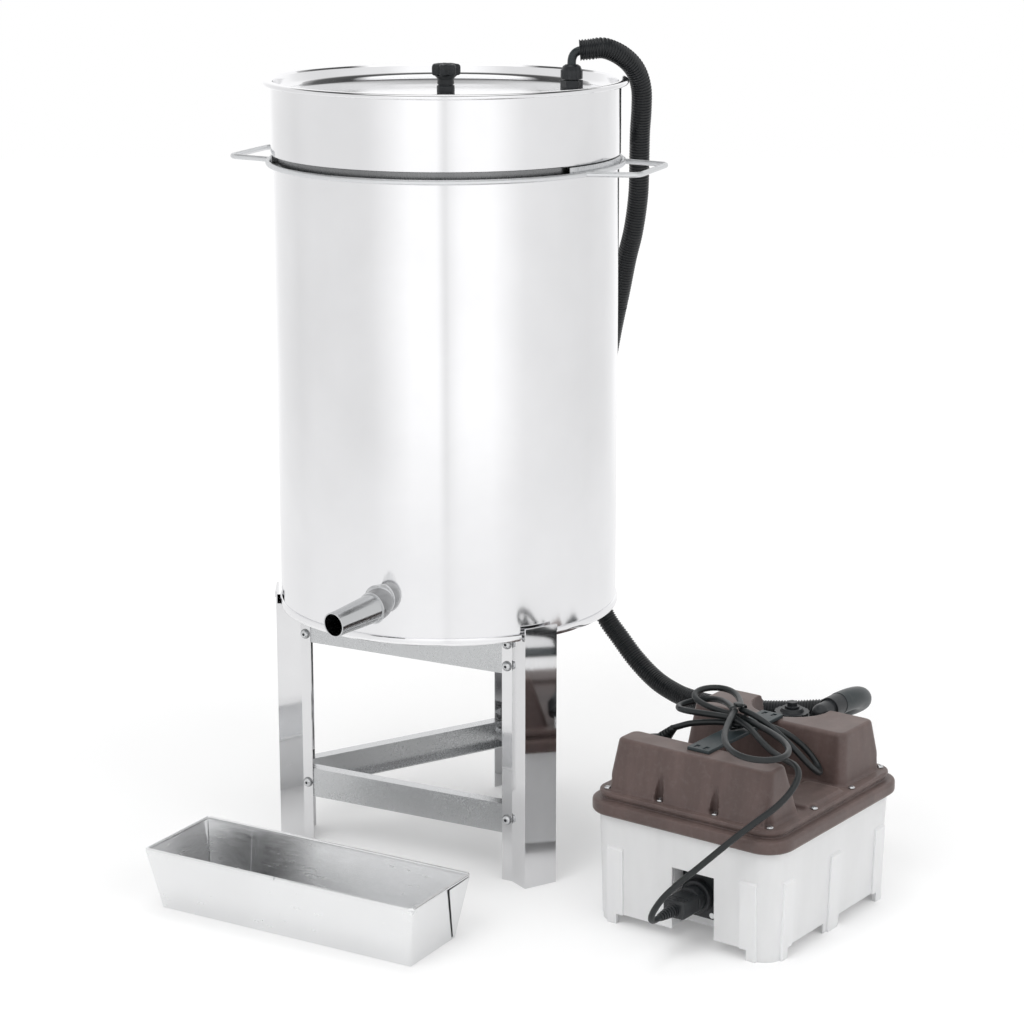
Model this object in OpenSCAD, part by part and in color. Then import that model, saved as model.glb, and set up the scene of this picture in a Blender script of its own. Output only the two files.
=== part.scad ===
// Steam wax melter: a stainless drum with a lift-out perforated basket and a lid,
// on a three-legged stand, fed through a conduit by a steam generator, with a wax mould tin.
// Millimetres, +Z up. The origin is on the floor, below the middle of the whole set.

/* [Layout] */
// Drum axis, to the left of the origin
tank_x = -85; // [-120:1:-60]
// Drum axis, behind the origin
tank_y = 108; // [80:1:140]
// Steam generator's centre, to the right of the origin
generator_x = 250; // [240:1:300]
// Steam generator's centre, in front of the origin
generator_y = -122; // [-160:1:-110]
// How far the generator is turned, in degrees
generator_turn = -36.5; // [-45:0.5:-30]
// Mould tin's centre, to the left of the origin
tin_x = -238; // [-300:1:-230]
// Mould tin's centre, in front of the origin
tin_y = -172; // [-240:1:-160]
// How far the mould tin is turned, in degrees
tin_turn = -30; // [-40:0.5:-15]

/* [Stand] */
// Height of the drum's base above the floor
stand_h = 295; // [270:1:320]
// Width of a leg's outer face
leg_w = 42; // [34:1:50]
// Depth of a leg's side walls
leg_deep = 28; // [22:1:34]
// Width of the bolting lips along a leg
lip_w = 13; // [11:0.5:16]
// Thickness of the stand's sheet steel
stand_sheet = 1.5; // [1:0.1:2.5]
// Height of the tongue that keeps the drum on the stand
tongue_h = 15; // [8:1:30]
// Angle of the front leg round the drum, in degrees
leg_turn = 32; // [25:1:40]
// Height of the upper braces
upper_brace_h = 46; // [38:1:60]
// Height of the lower braces
lower_brace_h = 35; // [25:1:50]
// Underside of the lower braces above the floor
lower_brace_z = 57; // [30:1:120]
// Width of the braces' flanges
brace_flange = 15; // [8:1:20]
// Diameter of the stand's bolts
bolt_d = 5; // [4:0.5:6]

/* [Drum] */
// Outer diameter of the drum
drum_d = 394; // [360:1:430]
// Height of the drum alone
drum_h = 514; // [450:1:600]
// Thickness of the drum's sheet
drum_wall = 1.2; // [0.8:0.1:2]
// Height of the rolled seam at the drum's base
base_seam_h = 7.5; // [4:0.5:12]
// How far the base seam stands proud
base_seam_proud = 2; // [1:0.1:3]

/* [Spout] */
// Side offset of the outlet from the drum's axis
spout_x = -73; // [-90:1:-50]
// Height of the outlet above the drum's base
spout_z = 50; // [42:1:70]
// Outer diameter of the elbow
elbow_d = 33; // [28:0.5:38]
// Outer diameter at the spout's mouth
mouth_d = 28; // [22:0.5:32]
// Length of the straight spout
spout_len = 65; // [45:1:90]
// Bend of the elbow, in degrees
elbow_bend = 38; // [25:1:60]
// Fall of the spout, in degrees
spout_fall = 5; // [2:0.5:10]
// Wall of the outlet pipe
pipe_wall = 1.5; // [1:0.1:2.5]

/* [Basket] */
// Diameter of the inner basket
basket_d = 372; // [340:1:376]
// Depth of the basket below the drum's rim
basket_deep = 425; // [300:1:440]
// Diameter of a hole in the basket
basket_hole_d = 10; // [6:0.5:12]
// Diameter of the wire ring and the handles
wire_d = 6; // [5:0.5:7]
// Length of a handle's outer bar
handle_w = 101; // [80:1:120]
// How far the handles reach from the ring
handle_reach = 46; // [35:1:60]
// Angle of the right-hand handle round the drum, in degrees
handle_turn = -21; // [-30:1:-10]

/* [Lid] */
// Largest diameter, over the lid's rolled rim
lid_d = 414; // [400:1:440]
// Height of the lid's side
lid_h = 83; // [60:1:110]
// Gap below the lid's side, over the basket's ring
lid_gap = 13; // [11:0.5:16]
// Depth of the lid's recessed panel
panel_deep = 16; // [10:0.5:24]
// Height of the knob
knob_h = 32; // [24:1:40]
// Diameter of the knob's head
knob_d = 34; // [28:1:44]

/* [Steam inlet] */
// Steam inlet's place on the lid, in from the rim at its right
inlet_x = 64; // [57:1:87]
// Steam inlet's place on the lid, behind its centre
inlet_y = 36; // [10:1:50]
// Height of the cable-gland fitting
gland_h = 28; // [24:1:36]
// Diameter of the fitting's nut
gland_d = 24; // [20:0.5:27]
// Outer diameter of the steam tube
steam_tube_d = 10; // [8:0.5:11]
// Outer diameter of the ribbed conduit
conduit_d = 24; // [21:0.5:26]
// Bore of the ribbed conduit
conduit_bore = 17; // [15.5:0.5:18.5]
// Number of ribs that the conduit shows
conduit_ribs = 150; // [100:1:190]

/* [Generator tank] */
// Width of the cover's rim, along the ridges
rim_w = 252; // [240:1:280]
// Depth of the cover's rim, across the ridges
rim_l = 278; // [264:1:300]
// Corner radius of the cover's rim
rim_r = 32; // [24:1:40]
// Height of the rim's underside above the floor
rim_z = 127; // [115:1:140]
// Inset of the tank's wall from the rim
tank_inset = 8; // [7:0.5:11]
// How much the tank narrows at its base, on each side
tank_taper = 4; // [2:0.5:7]
// Wall of the water tank
tank_wall = 2.5; // [2:0.1:4]
// Height of the tank's feet
foot_h = 12; // [8:0.5:18]

/* [Generator cover] */
// Height of the ridges' tops above the floor
ridge_z = 210; // [195:1:225]
// Width of the valley between the ridges, at the top
valley_w = 120; // [110:1:130]
// Radius of the hollow round the filler cap
scoop_r = 46; // [42:0.5:50]
// Diameter of the filler cap
cap_d = 40; // [34:0.5:42]
// Width of the strap handle
strap_w = 28; // [20:1:34]
// Thickness of the strap handle
strap_t = 4; // [3:0.5:6]

/* [Mains lead] */
// Diameter of the mains lead
lead_d = 7; // [5.5:0.1:7.4]
// Diameter of the plug's face
plug_d = 37; // [35:0.5:40]

/* [Mould tin] */
// Length of the tin over its rim
tin_l = 355; // [300:1:370]
// Width of the tin over its rim
tin_w = 121; // [100:1:130]
// Height of the tin
tin_h = 74; // [55:1:85]
// How far each end leans in towards the base
tin_end_lean = 13.5; // [8:0.5:20]
// How far each side leans in towards the base
tin_side_lean = 16; // [8:0.5:20]
// Thickness of the tinplate
tin_sheet = 1; // [0.6:0.1:1.6]
// Diameter of the wire rolled into the tin's rim
tin_wire_d = 4; // [3:0.5:5]

/* [Hidden] */

$fn = 96;
small_fn = 32;
overrun = 1;
touch = 0.01;
steel = [0.80, 0.81, 0.82];
bright_steel = [0.88, 0.88, 0.89];
brown = [0.36, 0.26, 0.24];
milky = [0.90, 0.91, 0.92];
black = [0.12, 0.13, 0.14];
grey_rubber = [0.25, 0.29, 0.30];

// Stand
drum_r = drum_d / 2;
tongue_clear = 2.5;
leg_r = drum_r + base_seam_proud + tongue_clear + stand_sheet;
lip_angle = 60;
leg_angles = [leg_turn - 120, leg_turn, leg_turn + 120];
side_angles = [leg_turn - 60, leg_turn + 60, leg_turn + 180];
lip_root_r = leg_r - leg_deep;
chord_r = lip_root_r * cos(lip_angle) + leg_w / 2 * sin(lip_angle);
chord_half = lip_root_r * sin(lip_angle) - leg_w / 2 * cos(lip_angle);
web_r = chord_r - stand_sheet;
brace_end_gap = 2;
brace_half = chord_half - brace_end_gap;
bolt_s = chord_half - lip_w / 2;
bolt_clear = 0.25;
bolt_head_d = 9;
bolt_head_h = 3.5;
washer_d = 10.5;
washer_t = 1;
nut_d = 9.2;
nut_h = 4;
bolt_tail = 2;
upper_bolt_drops = [10, 36];
hem_h = 7;
hem_t = 1;

// Drum
seam_gap = 0.8;
drum_hem_h = 9;
drum_hem_t = 1.2;
floor_ledge = 6;
floor_clear = 0.1;
elbow_r = 30;
elbow_stub = 8;
collar_d = 3;
mouth_len = 12;
outlet_reach = 20;
weld_gap = 0.1;

// Basket, measured from the drum's base
rim_sheet = 1.5;
ring_clear = 2;
ring_r = drum_r + ring_clear + wire_d / 2;
basket_r = basket_d / 2;
basket_sheet = 1;
upstand_out = 4;
upstand_r = basket_r + upstand_out;
upstand_t = 1.2;
basket_rows = 5;
basket_columns = 16;
basket_hole_margin = 30;
floor_ring_counts = [1, 6, 12, 18, 24];
floor_ring_pitch = 34;
handle_root_half = 65;
handle_bend = 9;
bend_steps = 4;
wire_sides = 12;
handle_plate_arc = 25;
handle_plate_t = 1.2;
handle_plate_gap = 0.4;
handle_plate_drop = 1.5;
flange_z = drum_h;
lid_z = drum_h + lid_gap;

// Lid
lid_sheet = 1.2;
lid_seat_clear = 1.75;
lid_seat_r = drum_r + lid_seat_clear;
roll_d = 6;
roll_r = lid_d / 2 - roll_d / 2;
roll_out = 5.25;
lid_side_r = roll_r - roll_out;
panel_wall_clear = 1.5;
panel_wall_r = lid_side_r - lid_sheet - panel_wall_clear;
rim_top_z = lid_z + lid_h;
panel_z = rim_top_z - panel_deep;
spigot_clear = 1.3;
spigot_r = upstand_r - spigot_clear;
spigot_deep = 10;
knob_screw_d = 6;
screw_clear = 0.25;
knob_stem_d = 18;
knob_base_d = 24;
knob_base_h = 6;
knob_groove_h = 3;
knob_head_h = 13;
knob_lobes = 7;
knob_lobe_d = 8;
knob_nut_h = 5;
knob_nut_d = 11.5;

// Steam inlet
gland_thread_d = 16;
gland_clear = 0.4;
gland_bore = steam_tube_d + gland_clear;
gland_hex_d = 26;
gland_hex_h = 9;
gland_neck_h = 1.2;
gland_nut_ribs = 12;
gasket_t = 1.5;
locknut_h = 6;
thread_tail = 9;
tube_bend_r = 14;
tube_lead_in = 14;
tube_wall = 2;
tube_drop = 14;

// Generator
half_u = rim_w / 2;
half_v = rim_l / 2;
rim_band_h = 15;
rim_groove_h = 4;
rim_step = 8;
rim_groove_in = 6;
rim_ledge = 26;
rim_band_top_h = 6;
rim_top = rim_z + rim_band_h + rim_groove_h + rim_band_top_h;
cover_sheet = 3;
tank_u = half_u - tank_inset;
tank_v = half_v - tank_inset;
tank_corner = rim_r - tank_inset;
gasket_h = 2;
tank_top = rim_z + rim_band_h - cover_sheet - gasket_h;
pocket_clear = 1.5;
tank_floor_up = 2;
tank_floor_z = foot_h + tank_floor_up;
tank_floor_t = 3;
foot_len = 34;
recess_u = 15;
recess_w = 54;
recess_h = 84;
recess_deep = 26;
pilaster_proud = 2.5;
pilaster_h = 88;
ridge_round = 12;
ridge_u = 105;
ridge_top_u = 96;
front_ridge_v = [-124, -56];
valley_front_shift = 16;
valley_back_shift = -16;
front_top_v = [-112, -valley_w / 2 - valley_front_shift];
back_ridge_v = [34, 125];
back_top_v = [valley_w / 2 + valley_back_shift, 113];
scoop_z = 184;
cap_u = -3;
cap_v = 104;
outlet_u = 31;
outlet_v = 110;
outlet_z = 205;
outlet_d = 20;
outlet_bore = 12;
outlet_end_v = 150;
outlet_sleeve_d = 25;
outlet_sleeve_len = 22;
screw_d = 4;
screw_head_d = 8;
screw_head_h = 2.6;
screw_len = 12;
flute_h = 34;
flute_r = 6.5;
screw_u_shares = [-0.825, -0.28, 0.28, 0.825];
screw_v_shares = [-0.29, 0.29];
screw_row_in_v = 20;
screw_row_in_u = 14;
screw_row_v = half_v - screw_row_in_v;
screw_row_u = half_u - screw_row_in_u;
strap_u = 0;
strap_slot_l = 8;
strap_slot_w = 4;
strap_slot_pitch = 12;
strap_slot_in = 8;
neck_d = 34;
neck_bore = 26;
cap_h = 11;
cap_gap = 0.4;
cap_scallops = 16;
cap_scallop_d = 4;
cap_dome_d = 24;
cap_dome_h = 4;
cap_hex_d = 13;
cap_hex_h = 7;
element_d = 9;
element_z = 38;
element_reach = 150;
element_bend_r = 26;

// Mains inlet, connector, lead and plug
housing_t = 6;
housing_w = 43;
housing_h = 50;
housing_z = 50;
socket_d = 36;
socket_h = 9;
connector_w = 27;
connector_h = 20;
connector_len = 44;
connector_collar_d = 30;
relief_len = 26;
relief_root_d = 15;
relief_tip_d = 9;
lead_gap = 1.2;
lead_step = 10.5;
tie_w = 8;
tie_t = 1.6;
boot_len = 21.7;
plug_len = 30;
plug_neck_d = 17;
pin_d = 4.8;
pin_len = 19;
pin_pitch = 19;

// Tin
tin_base_l = tin_l - 2 * tin_end_lean;
tin_base_w = tin_w - 2 * tin_side_lean;
flap_w = 30;
flap_t = 0.8;
plate_thin = 0.2;

// The conduit's route from the lid to the generator, from the drum's axis and the floor
conduit_route = [[152, 36, 933], [164, 36, 934], [180, 40, 935], [200, 49, 926], [216, 58, 910],
    [224, 66, 888], [225, 74, 862], [224, 82, 836], [224, 90, 803], [224, 98, 768],
    [222, 105, 740], [218, 112, 711], [212, 121, 682], [205, 131, 640], [196, 141, 590],
    [187, 149, 530], [180, 153, 470], [175, 154, 410], [172, 150, 350], [174, 142, 300],
    [181, 131, 262], [191, 120, 235], [209, 108, 211], [228, 94, 188], [250, 76, 169],
    [270, 57, 160], [289, 37, 157], [322, 6, 158], [362, -25, 163], [405, -42, 168],
    [432, -47, 171], [449, -48, 172]];
// The lead from the connector to the tie, from the generator's centre and the floor
lead_run_route = [[11, -202, 52], [16, -209, 64], [26, -205, 82], [38, -192, 98], [52, -176, 114],
    [68, -162, 132], [85, -152, 150], [101, -142, 166], [116, -130, 181], [127, -119, 197],
    [129, -106, 211], [119, -94, 217], [98, -82, 217], [74, -69, 218], [50, -54, 222],
    [26, -37, 226]];
// The lead from the tie to the plug
lead_tail_route = [[-18, -24, 220], [-38, -28, 217], [-55, -32, 213], [-65, -35, 209],
    [-72, -36, 206]];

// Vectors
function unit(v) = v / norm(v);
function mix(a, b, t) = a + (b - a) * t;
function curve_point(p, i, t) =
    let (n = len(p) - 1, a = i > 0 ? p[i - 1] : 2 * p[0] - p[1], b = p[i], c = p[i + 1],
        d = i + 2 > n ? 2 * p[n] - p[n - 1] : p[i + 2])
    0.5 * (2 * b + (c - a) * t + (2 * a - 5 * b + 4 * c - d) * t * t
        + (3 * b - a - 3 * c + d) * t * t * t);
// Points along a smooth curve through the route, about one step apart
function along(p, step) = concat([for (i = [0 : len(p) - 2])
    let (n = max(1, round(norm(p[i + 1] - p[i]) / step)))
    for (k = [0 : n - 1]) curve_point(p, i, k / n)], [p[len(p) - 1]]);
function heading(p, i) =
    unit(p[min(i + 1, len(p) - 1)] - p[max(i - 1, 0)]);
function path_length(p) = len(p) < 2 ? 0 : path_sum(p, 0);
function path_sum(p, i) = i >= len(p) - 1 ? 0 : norm(p[i + 1] - p[i]) + path_sum(p, i + 1);
// Side vectors that turn with the curve and never twist
function sides_of(p, first) = [for (i = 0, s = unit(cross(heading(p, 0), first));
    i < len(p); i = i + 1, t = i < len(p) ? heading(p, i) : [0, 0, 0],
    s = i < len(p) ? unit(s - (s * t) * t) : s) s];
function ring_points(c, t, s, r, n) =
    [for (k = [0 : n - 1]) let (a = 360 * k / n) c + r * (cos(a) * s + sin(a) * cross(t, s))];
function tube_points(p, r, n, first) =
    let (s = sides_of(p, first))
    [for (i = [0 : len(p) - 1]) each ring_points(p[i], heading(p, i), s[i], r[i % len(r)], n)];
function skin(from, rings, n, inward) = [for (i = [0 : rings - 2], k = [0 : n - 1])
    let (a = from + i * n + k, b = from + i * n + (k + 1) % n)
    each (inward ? [[a, a + n, b], [b, a + n, b + n]] : [[a, b, a + n], [b, b + n, a + n]])];
function fan(from, n, flip) = [for (k = [1 : n - 2])
    flip ? [from, from + k + 1, from + k] : [from, from + k, from + k + 1]];
function washer_faces(outer, inner, n, flip) = [for (k = [0 : n - 1])
    let (a = outer + k, b = outer + (k + 1) % n, c = inner + k, d = inner + (k + 1) % n)
    each (flip ? [[a, b, c], [b, d, c]] : [[a, c, b], [b, c, d]])];

// A solid round cord along points
module cord(p, d, n, first) {
    m = len(p);
    polyhedron(tube_points(p, [d / 2], n, first),
        concat(skin(0, m, n, true), fan(0, n, false), fan((m - 1) * n, n, true)));
}

// A ribbed hose: the skin follows every point, the bore every third
module ribbed_hose(p, radii, bore, n, first) {
    every = len(p) > 2 * wire_sides ? 3 : 1;
    inner = concat([for (i = [0 : every : len(p) - 1 - every]) p[i]], [p[len(p) - 1]]);
    m = len(p);
    q = len(inner);
    start = m * n;
    polyhedron(concat(tube_points(p, radii, n, first), tube_points(inner, [bore / 2], n, first)),
        concat(skin(0, m, n, true), skin(start, q, n, false),
            washer_faces(0, start, n, true),
            washer_faces((m - 1) * n, start + (q - 1) * n, n, false)));
}

module at_drum() {
    translate([tank_x, tank_y, stand_h]) children();
}

module at_stand() {
    translate([tank_x, tank_y, 0]) children();
}

module at_generator() {
    translate([generator_x, generator_y, 0]) rotate(generator_turn) children();
}

module at_tin() {
    translate([tin_x, tin_y, 0]) rotate(tin_turn) children();
}

module round_rect(u, v, r) {
    square([2 * u, 2 * (v - r)], center = true);
    square([2 * (u - r), 2 * v], center = true);
    for (a = [-1, 1], b = [-1, 1]) translate([a * (u - r), b * (v - r)]) circle(r);
}

// A solid that narrows between two rounded rectangles
module frustum(u0, v0, z0, u1, v1, z1, r) {
    hull() {
        translate([0, 0, z0]) linear_extrude(touch) round_rect(u0, v0, r, $fn = small_fn);
        translate([0, 0, z1 - touch]) linear_extrude(touch) round_rect(u1, v1, r, $fn = small_fn);
    }
}

module tube(r, wall, h) {
    difference() {
        cylinder(r = r, h = h);
        translate([0, 0, -overrun]) cylinder(r = r - wall, h = h + 2 * overrun);
    }
}

// Stand: one leg seen from above, folded from sheet, its face towards -Y
module leg_section() {
    translate([-leg_w / 2, -leg_r]) square([leg_w, stand_sheet]);
    for (s = [-1, 1]) {
        translate([s < 0 ? -leg_w / 2 : leg_w / 2 - stand_sheet, -leg_r])
            square([stand_sheet, leg_deep + stand_sheet]);
        translate([s * leg_w / 2, -lip_root_r]) rotate(s < 0 ? 90 + lip_angle / 2 : 90 - lip_angle / 2)
            translate([0, s < 0 ? -stand_sheet : 0]) square([lip_w, stand_sheet]);
    }
}

// Brace bolts as seen from a stand's side: run along the side, height
bolt_places = [for (s = [-1, 1], z = concat([for (d = upper_bolt_drops) stand_h - d],
    [lower_brace_z + lower_brace_h / 2])) [s * bolt_s, z]];

module bolt_holes() {
    for (a = side_angles, b = bolt_places) rotate(a)
        translate([b[0], -chord_r - overrun, b[1]]) rotate([-90, 0, 0])
            cylinder(d = bolt_d + 2 * bolt_clear, h = 2 * stand_sheet + 2 * overrun);
}

module leg(angle) {
    color(bright_steel) at_stand() difference() {
        union() {
            rotate(angle) linear_extrude(stand_h) leg_section();
            rotate(angle) translate([-leg_w / 2, -leg_r, stand_h - touch])
                cube([leg_w, stand_sheet, tongue_h + touch]);
            rotate(angle) translate([-leg_w / 2, -leg_r - hem_t, stand_h + tongue_h - hem_h])
                cube([leg_w, hem_t + touch, hem_h]);
        }
        bolt_holes();
    }
}

module leg_left() leg(leg_angles[0]);
module leg_front() leg(leg_angles[1]);
module leg_back() leg(leg_angles[2]);

module brace(z, h, lower_flange) {
    translate([-brace_half, -web_r, z]) cube([2 * brace_half, stand_sheet, h]);
    translate([-brace_half, -web_r, z + h - stand_sheet])
        cube([2 * brace_half, brace_flange, stand_sheet]);
    if (lower_flange) translate([-brace_half, -web_r, z])
        cube([2 * brace_half, brace_flange, stand_sheet]);
}

module upper_braces() {
    color(steel) at_stand() difference() {
        for (a = side_angles) rotate(a) brace(stand_h - upper_brace_h, upper_brace_h, false);
        bolt_holes();
    }
}

module lower_braces() {
    color(steel) at_stand() difference() {
        for (a = side_angles) rotate(a) brace(lower_brace_z, lower_brace_h, true);
        bolt_holes();
    }
}

module at_bolts(y) {
    for (a = side_angles, b = bolt_places) rotate(a)
        translate([b[0], y, b[1]]) rotate([-90, 0, 0]) children();
}

module brace_bolts() {
    color(steel) at_stand() at_bolts(-chord_r - washer_t - bolt_head_h) {
        cylinder(d = bolt_head_d, h = bolt_head_h, $fn = 6);
        cylinder(d = bolt_d, h = bolt_head_h + washer_t + 2 * stand_sheet + nut_h + bolt_tail);
    }
}

module brace_washers() {
    color(steel) at_stand() at_bolts(-chord_r - washer_t) difference() {
        cylinder(d = washer_d, h = washer_t);
        translate([0, 0, -overrun]) cylinder(d = bolt_d + 2 * bolt_clear, h = washer_t + 2 * overrun);
    }
}

module brace_nuts() {
    color(steel) at_stand() at_bolts(-web_r + stand_sheet) difference() {
        cylinder(d = nut_d, h = nut_h, $fn = 6);
        translate([0, 0, -overrun]) cylinder(d = bolt_d + 2 * touch, h = nut_h + 2 * overrun);
    }
}

// Outlet: placed at the drum's wall, running towards -Y, then bending to the left
module at_spout() {
    translate([spout_x, -sqrt(drum_r * drum_r - spout_x * spout_x), spout_z])
        rotate([spout_fall, 0, 0]) children();
}

module at_elbow_end() {
    translate([-elbow_r, -elbow_stub, 0]) rotate(-elbow_bend) translate([elbow_r, 0, 0])
        rotate([90, 0, 0]) children();
}

module drum_shell() {
    color(bright_steel) at_drum() difference() {
        rotate_extrude() {
            translate([drum_r - drum_wall, 0]) square([drum_wall, drum_h]);
            translate([drum_r - floor_ledge, 0]) square([floor_ledge, drum_wall]);
            translate([drum_r - touch, seam_gap]) square([base_seam_proud + touch, base_seam_h]);
            translate([drum_r - drum_wall - drum_hem_t, drum_h - drum_hem_h])
                square([drum_hem_t + touch, drum_hem_h]);
        }
        at_spout() rotate([90, 0, 0]) translate([0, 0, -outlet_reach])
            cylinder(r = elbow_d / 2 - pipe_wall, h = outlet_reach + elbow_stub);
    }
}

module drum_floor() {
    color(steel) at_drum() translate([0, 0, drum_wall])
        cylinder(r = drum_r - drum_wall - floor_clear, h = drum_wall);
}

module outlet_stub() {
    color(steel) at_drum() difference() {
        at_spout() translate([0, outlet_reach, 0]) rotate([90, 0, 0])
            tube(elbow_d / 2, pipe_wall, outlet_reach + elbow_stub);
        cylinder(r = drum_r + weld_gap, h = drum_h);
    }
}

module outlet_elbow() {
    color(steel) at_drum() at_spout() translate([-elbow_r, -elbow_stub, 0]) rotate(-elbow_bend)
        rotate_extrude(angle = elbow_bend) translate([elbow_r, 0]) difference() {
            circle(d = elbow_d);
            circle(d = elbow_d - 2 * pipe_wall);
        }
}

module outlet_spout() {
    cone_len = spout_len - mouth_len;
    color(steel) at_drum() at_spout() at_elbow_end() difference() {
        union() {
            cylinder(d1 = elbow_d, d2 = mouth_d, h = cone_len);
            translate([0, 0, cone_len - touch]) cylinder(d = mouth_d, h = mouth_len + touch);
            cylinder(d = elbow_d + collar_d, h = collar_d / 2);
        }
        translate([0, 0, -touch])
            cylinder(d1 = elbow_d - 2 * pipe_wall, d2 = mouth_d - 2 * pipe_wall, h = cone_len + touch);
        translate([0, 0, cone_len - touch])
            cylinder(d = mouth_d - 2 * pipe_wall, h = mouth_len + overrun);
    }
}

// Basket
module basket_rim() {
    color(steel) at_drum() rotate_extrude() {
        translate([basket_r, flange_z]) square([ring_r - basket_r, rim_sheet]);
        translate([upstand_r, flange_z]) square([upstand_t, lid_gap]);
        translate([ring_r, flange_z + wire_d / 2]) circle(d = wire_d, $fn = small_fn);
    }
}

module basket_shell() {
    row_pitch = (basket_deep - 2 * basket_hole_margin) / (basket_rows - 1);
    color(steel) at_drum() difference() {
        translate([0, 0, flange_z - basket_deep])
            tube(basket_r, basket_sheet, basket_deep + rim_sheet);
        for (row = [0 : basket_rows - 1], k = [0 : basket_columns - 1])
            rotate(360 * (k + row % 2 / 2) / basket_columns)
                translate([0, -basket_r, flange_z - basket_deep + basket_hole_margin + row * row_pitch])
                    rotate([90, 0, 0]) cylinder(d = basket_hole_d, h = basket_hole_d, center = true);
    }
}

module basket_floor() {
    color(steel) at_drum() translate([0, 0, flange_z - basket_deep]) difference() {
        cylinder(r = basket_r - basket_sheet, h = basket_sheet);
        for (ring = [0 : len(floor_ring_counts) - 1], k = [0 : floor_ring_counts[ring] - 1])
            rotate(360 * k / floor_ring_counts[ring]) translate([ring * floor_ring_pitch, 0, -overrun])
                cylinder(d = basket_hole_d, h = basket_sheet + 2 * overrun);
    }
}

// Points of a bent wire: straight runs with each corner turned in a few steps
function bent(p, cut, steps) = concat([p[0]], [for (i = [1 : len(p) - 2])
    let (a = p[i] + cut * unit(p[i - 1] - p[i]), b = p[i] + cut * unit(p[i + 1] - p[i]))
    for (k = [0 : steps]) let (t = k / steps) mix(mix(a, p[i], t), mix(p[i], b, t), t)],
    [p[len(p) - 1]]);

// A handle reaches along +X from the basket's ring
module handle() {
    out = ring_r + handle_reach;
    z = flange_z + wire_d / 2;
    root = sqrt(ring_r * ring_r - handle_root_half * handle_root_half);
    color(steel) at_drum() difference() {
        cord(bent([[root, -handle_root_half, z], [out, -handle_w / 2, z], [out, handle_w / 2, z],
            [root, handle_root_half, z]], handle_bend, bend_steps), wire_d, wire_sides, [0, 0, 1]);
        cylinder(r = ring_r + wire_d / 2, h = 2 * drum_h);
    }
}

module handle_right() at_handle(handle_turn) handle();
module handle_left() at_handle(handle_turn + 180) handle();

// Turns a handle round the drum's own axis
module at_handle(angle) {
    translate([tank_x, tank_y, 0]) rotate(angle) translate([-tank_x, -tank_y, 0]) children();
}

module handle_plates() {
    plate_r = ring_r - wire_d / 2 - handle_plate_gap;
    color(bright_steel) at_drum() for (side = [0, 180])
        rotate(handle_turn + side - handle_plate_arc) rotate_extrude(angle = 2 * handle_plate_arc)
            translate([plate_r - handle_plate_t, flange_z + rim_sheet])
                square([handle_plate_t, lid_gap - rim_sheet - handle_plate_drop]);
}

// Lid
module lid_skirt() {
    color(bright_steel) at_drum() rotate_extrude() {
        polygon([[lid_seat_r - lid_sheet, lid_z], [lid_seat_r, lid_z],
            [lid_side_r, rim_top_z - lid_sheet], [lid_side_r - lid_sheet, rim_top_z - lid_sheet]]);
        translate([spigot_r - lid_sheet, lid_z]) square([lid_seat_r - spigot_r + lid_sheet, lid_sheet]);
        translate([spigot_r - lid_sheet, lid_z - spigot_deep]) square([lid_sheet, spigot_deep + touch]);
    }
}

module lid_panel() {
    color(bright_steel) at_drum() difference() {
        rotate_extrude() {
            translate([0, panel_z - lid_sheet]) square([panel_wall_r, lid_sheet]);
            translate([panel_wall_r - lid_sheet, panel_z - lid_sheet]) square([lid_sheet, panel_deep + lid_sheet]);
            translate([panel_wall_r - lid_sheet, rim_top_z - lid_sheet])
                square([roll_r - panel_wall_r + lid_sheet, lid_sheet]);
            translate([roll_r, rim_top_z - roll_d / 2]) circle(d = roll_d, $fn = small_fn);
        }
        translate([0, 0, panel_z - 2 * lid_sheet])
            cylinder(d = knob_screw_d + 2 * screw_clear, h = 3 * lid_sheet);
        translate([lid_d / 2 - inlet_x, inlet_y, panel_z - 2 * lid_sheet])
            cylinder(d = gland_thread_d + 2 * screw_clear, h = 3 * lid_sheet);
    }
}

module knob_head() {
    color(black) at_drum() translate([0, 0, panel_z + knob_h - knob_head_h]) difference() {
        union() {
            cylinder(d = knob_d - knob_lobe_d, h = knob_head_h);
            for (k = [0 : knob_lobes - 1]) rotate(360 * k / knob_lobes)
                translate([(knob_d - knob_lobe_d) / 2, 0, 0]) cylinder(d = knob_lobe_d, h = knob_head_h);
        }
        translate([0, 0, -overrun])
            cylinder(d = knob_screw_d + 2 * touch, h = knob_head_h / 2 + overrun);
    }
}

module knob_stem() {
    stem_h = knob_h - knob_head_h;
    color(black) at_drum() translate([0, 0, panel_z]) difference() {
        rotate_extrude() {
            square([knob_base_d / 2, knob_base_h]);
            square([knob_stem_d / 2 - knob_groove_h / 2, stem_h]);
            translate([0, knob_base_h + knob_groove_h]) square([knob_stem_d / 2, stem_h - knob_base_h - knob_groove_h]);
        }
        translate([0, 0, -overrun])
            cylinder(d = knob_screw_d + 2 * touch, h = stem_h + 2 * overrun);
    }
}

module knob_screw() {
    color(steel) at_drum() translate([0, 0, panel_z - lid_sheet]) {
        translate([0, 0, -knob_nut_h]) cylinder(d = knob_nut_d, h = knob_nut_h, $fn = 6);
        cylinder(d = knob_screw_d, h = lid_sheet + knob_h - knob_head_h / 2);
    }
}

// Steam inlet on the lid
module at_inlet() {
    at_drum() translate([lid_d / 2 - inlet_x, inlet_y, panel_z]) children();
}

module gland_gasket() {
    color(black) at_inlet() difference() {
        cylinder(d = gland_hex_d, h = gasket_t);
        translate([0, 0, -overrun]) cylinder(d = gland_thread_d + 2 * touch, h = gasket_t + 2 * overrun);
    }
}

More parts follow.
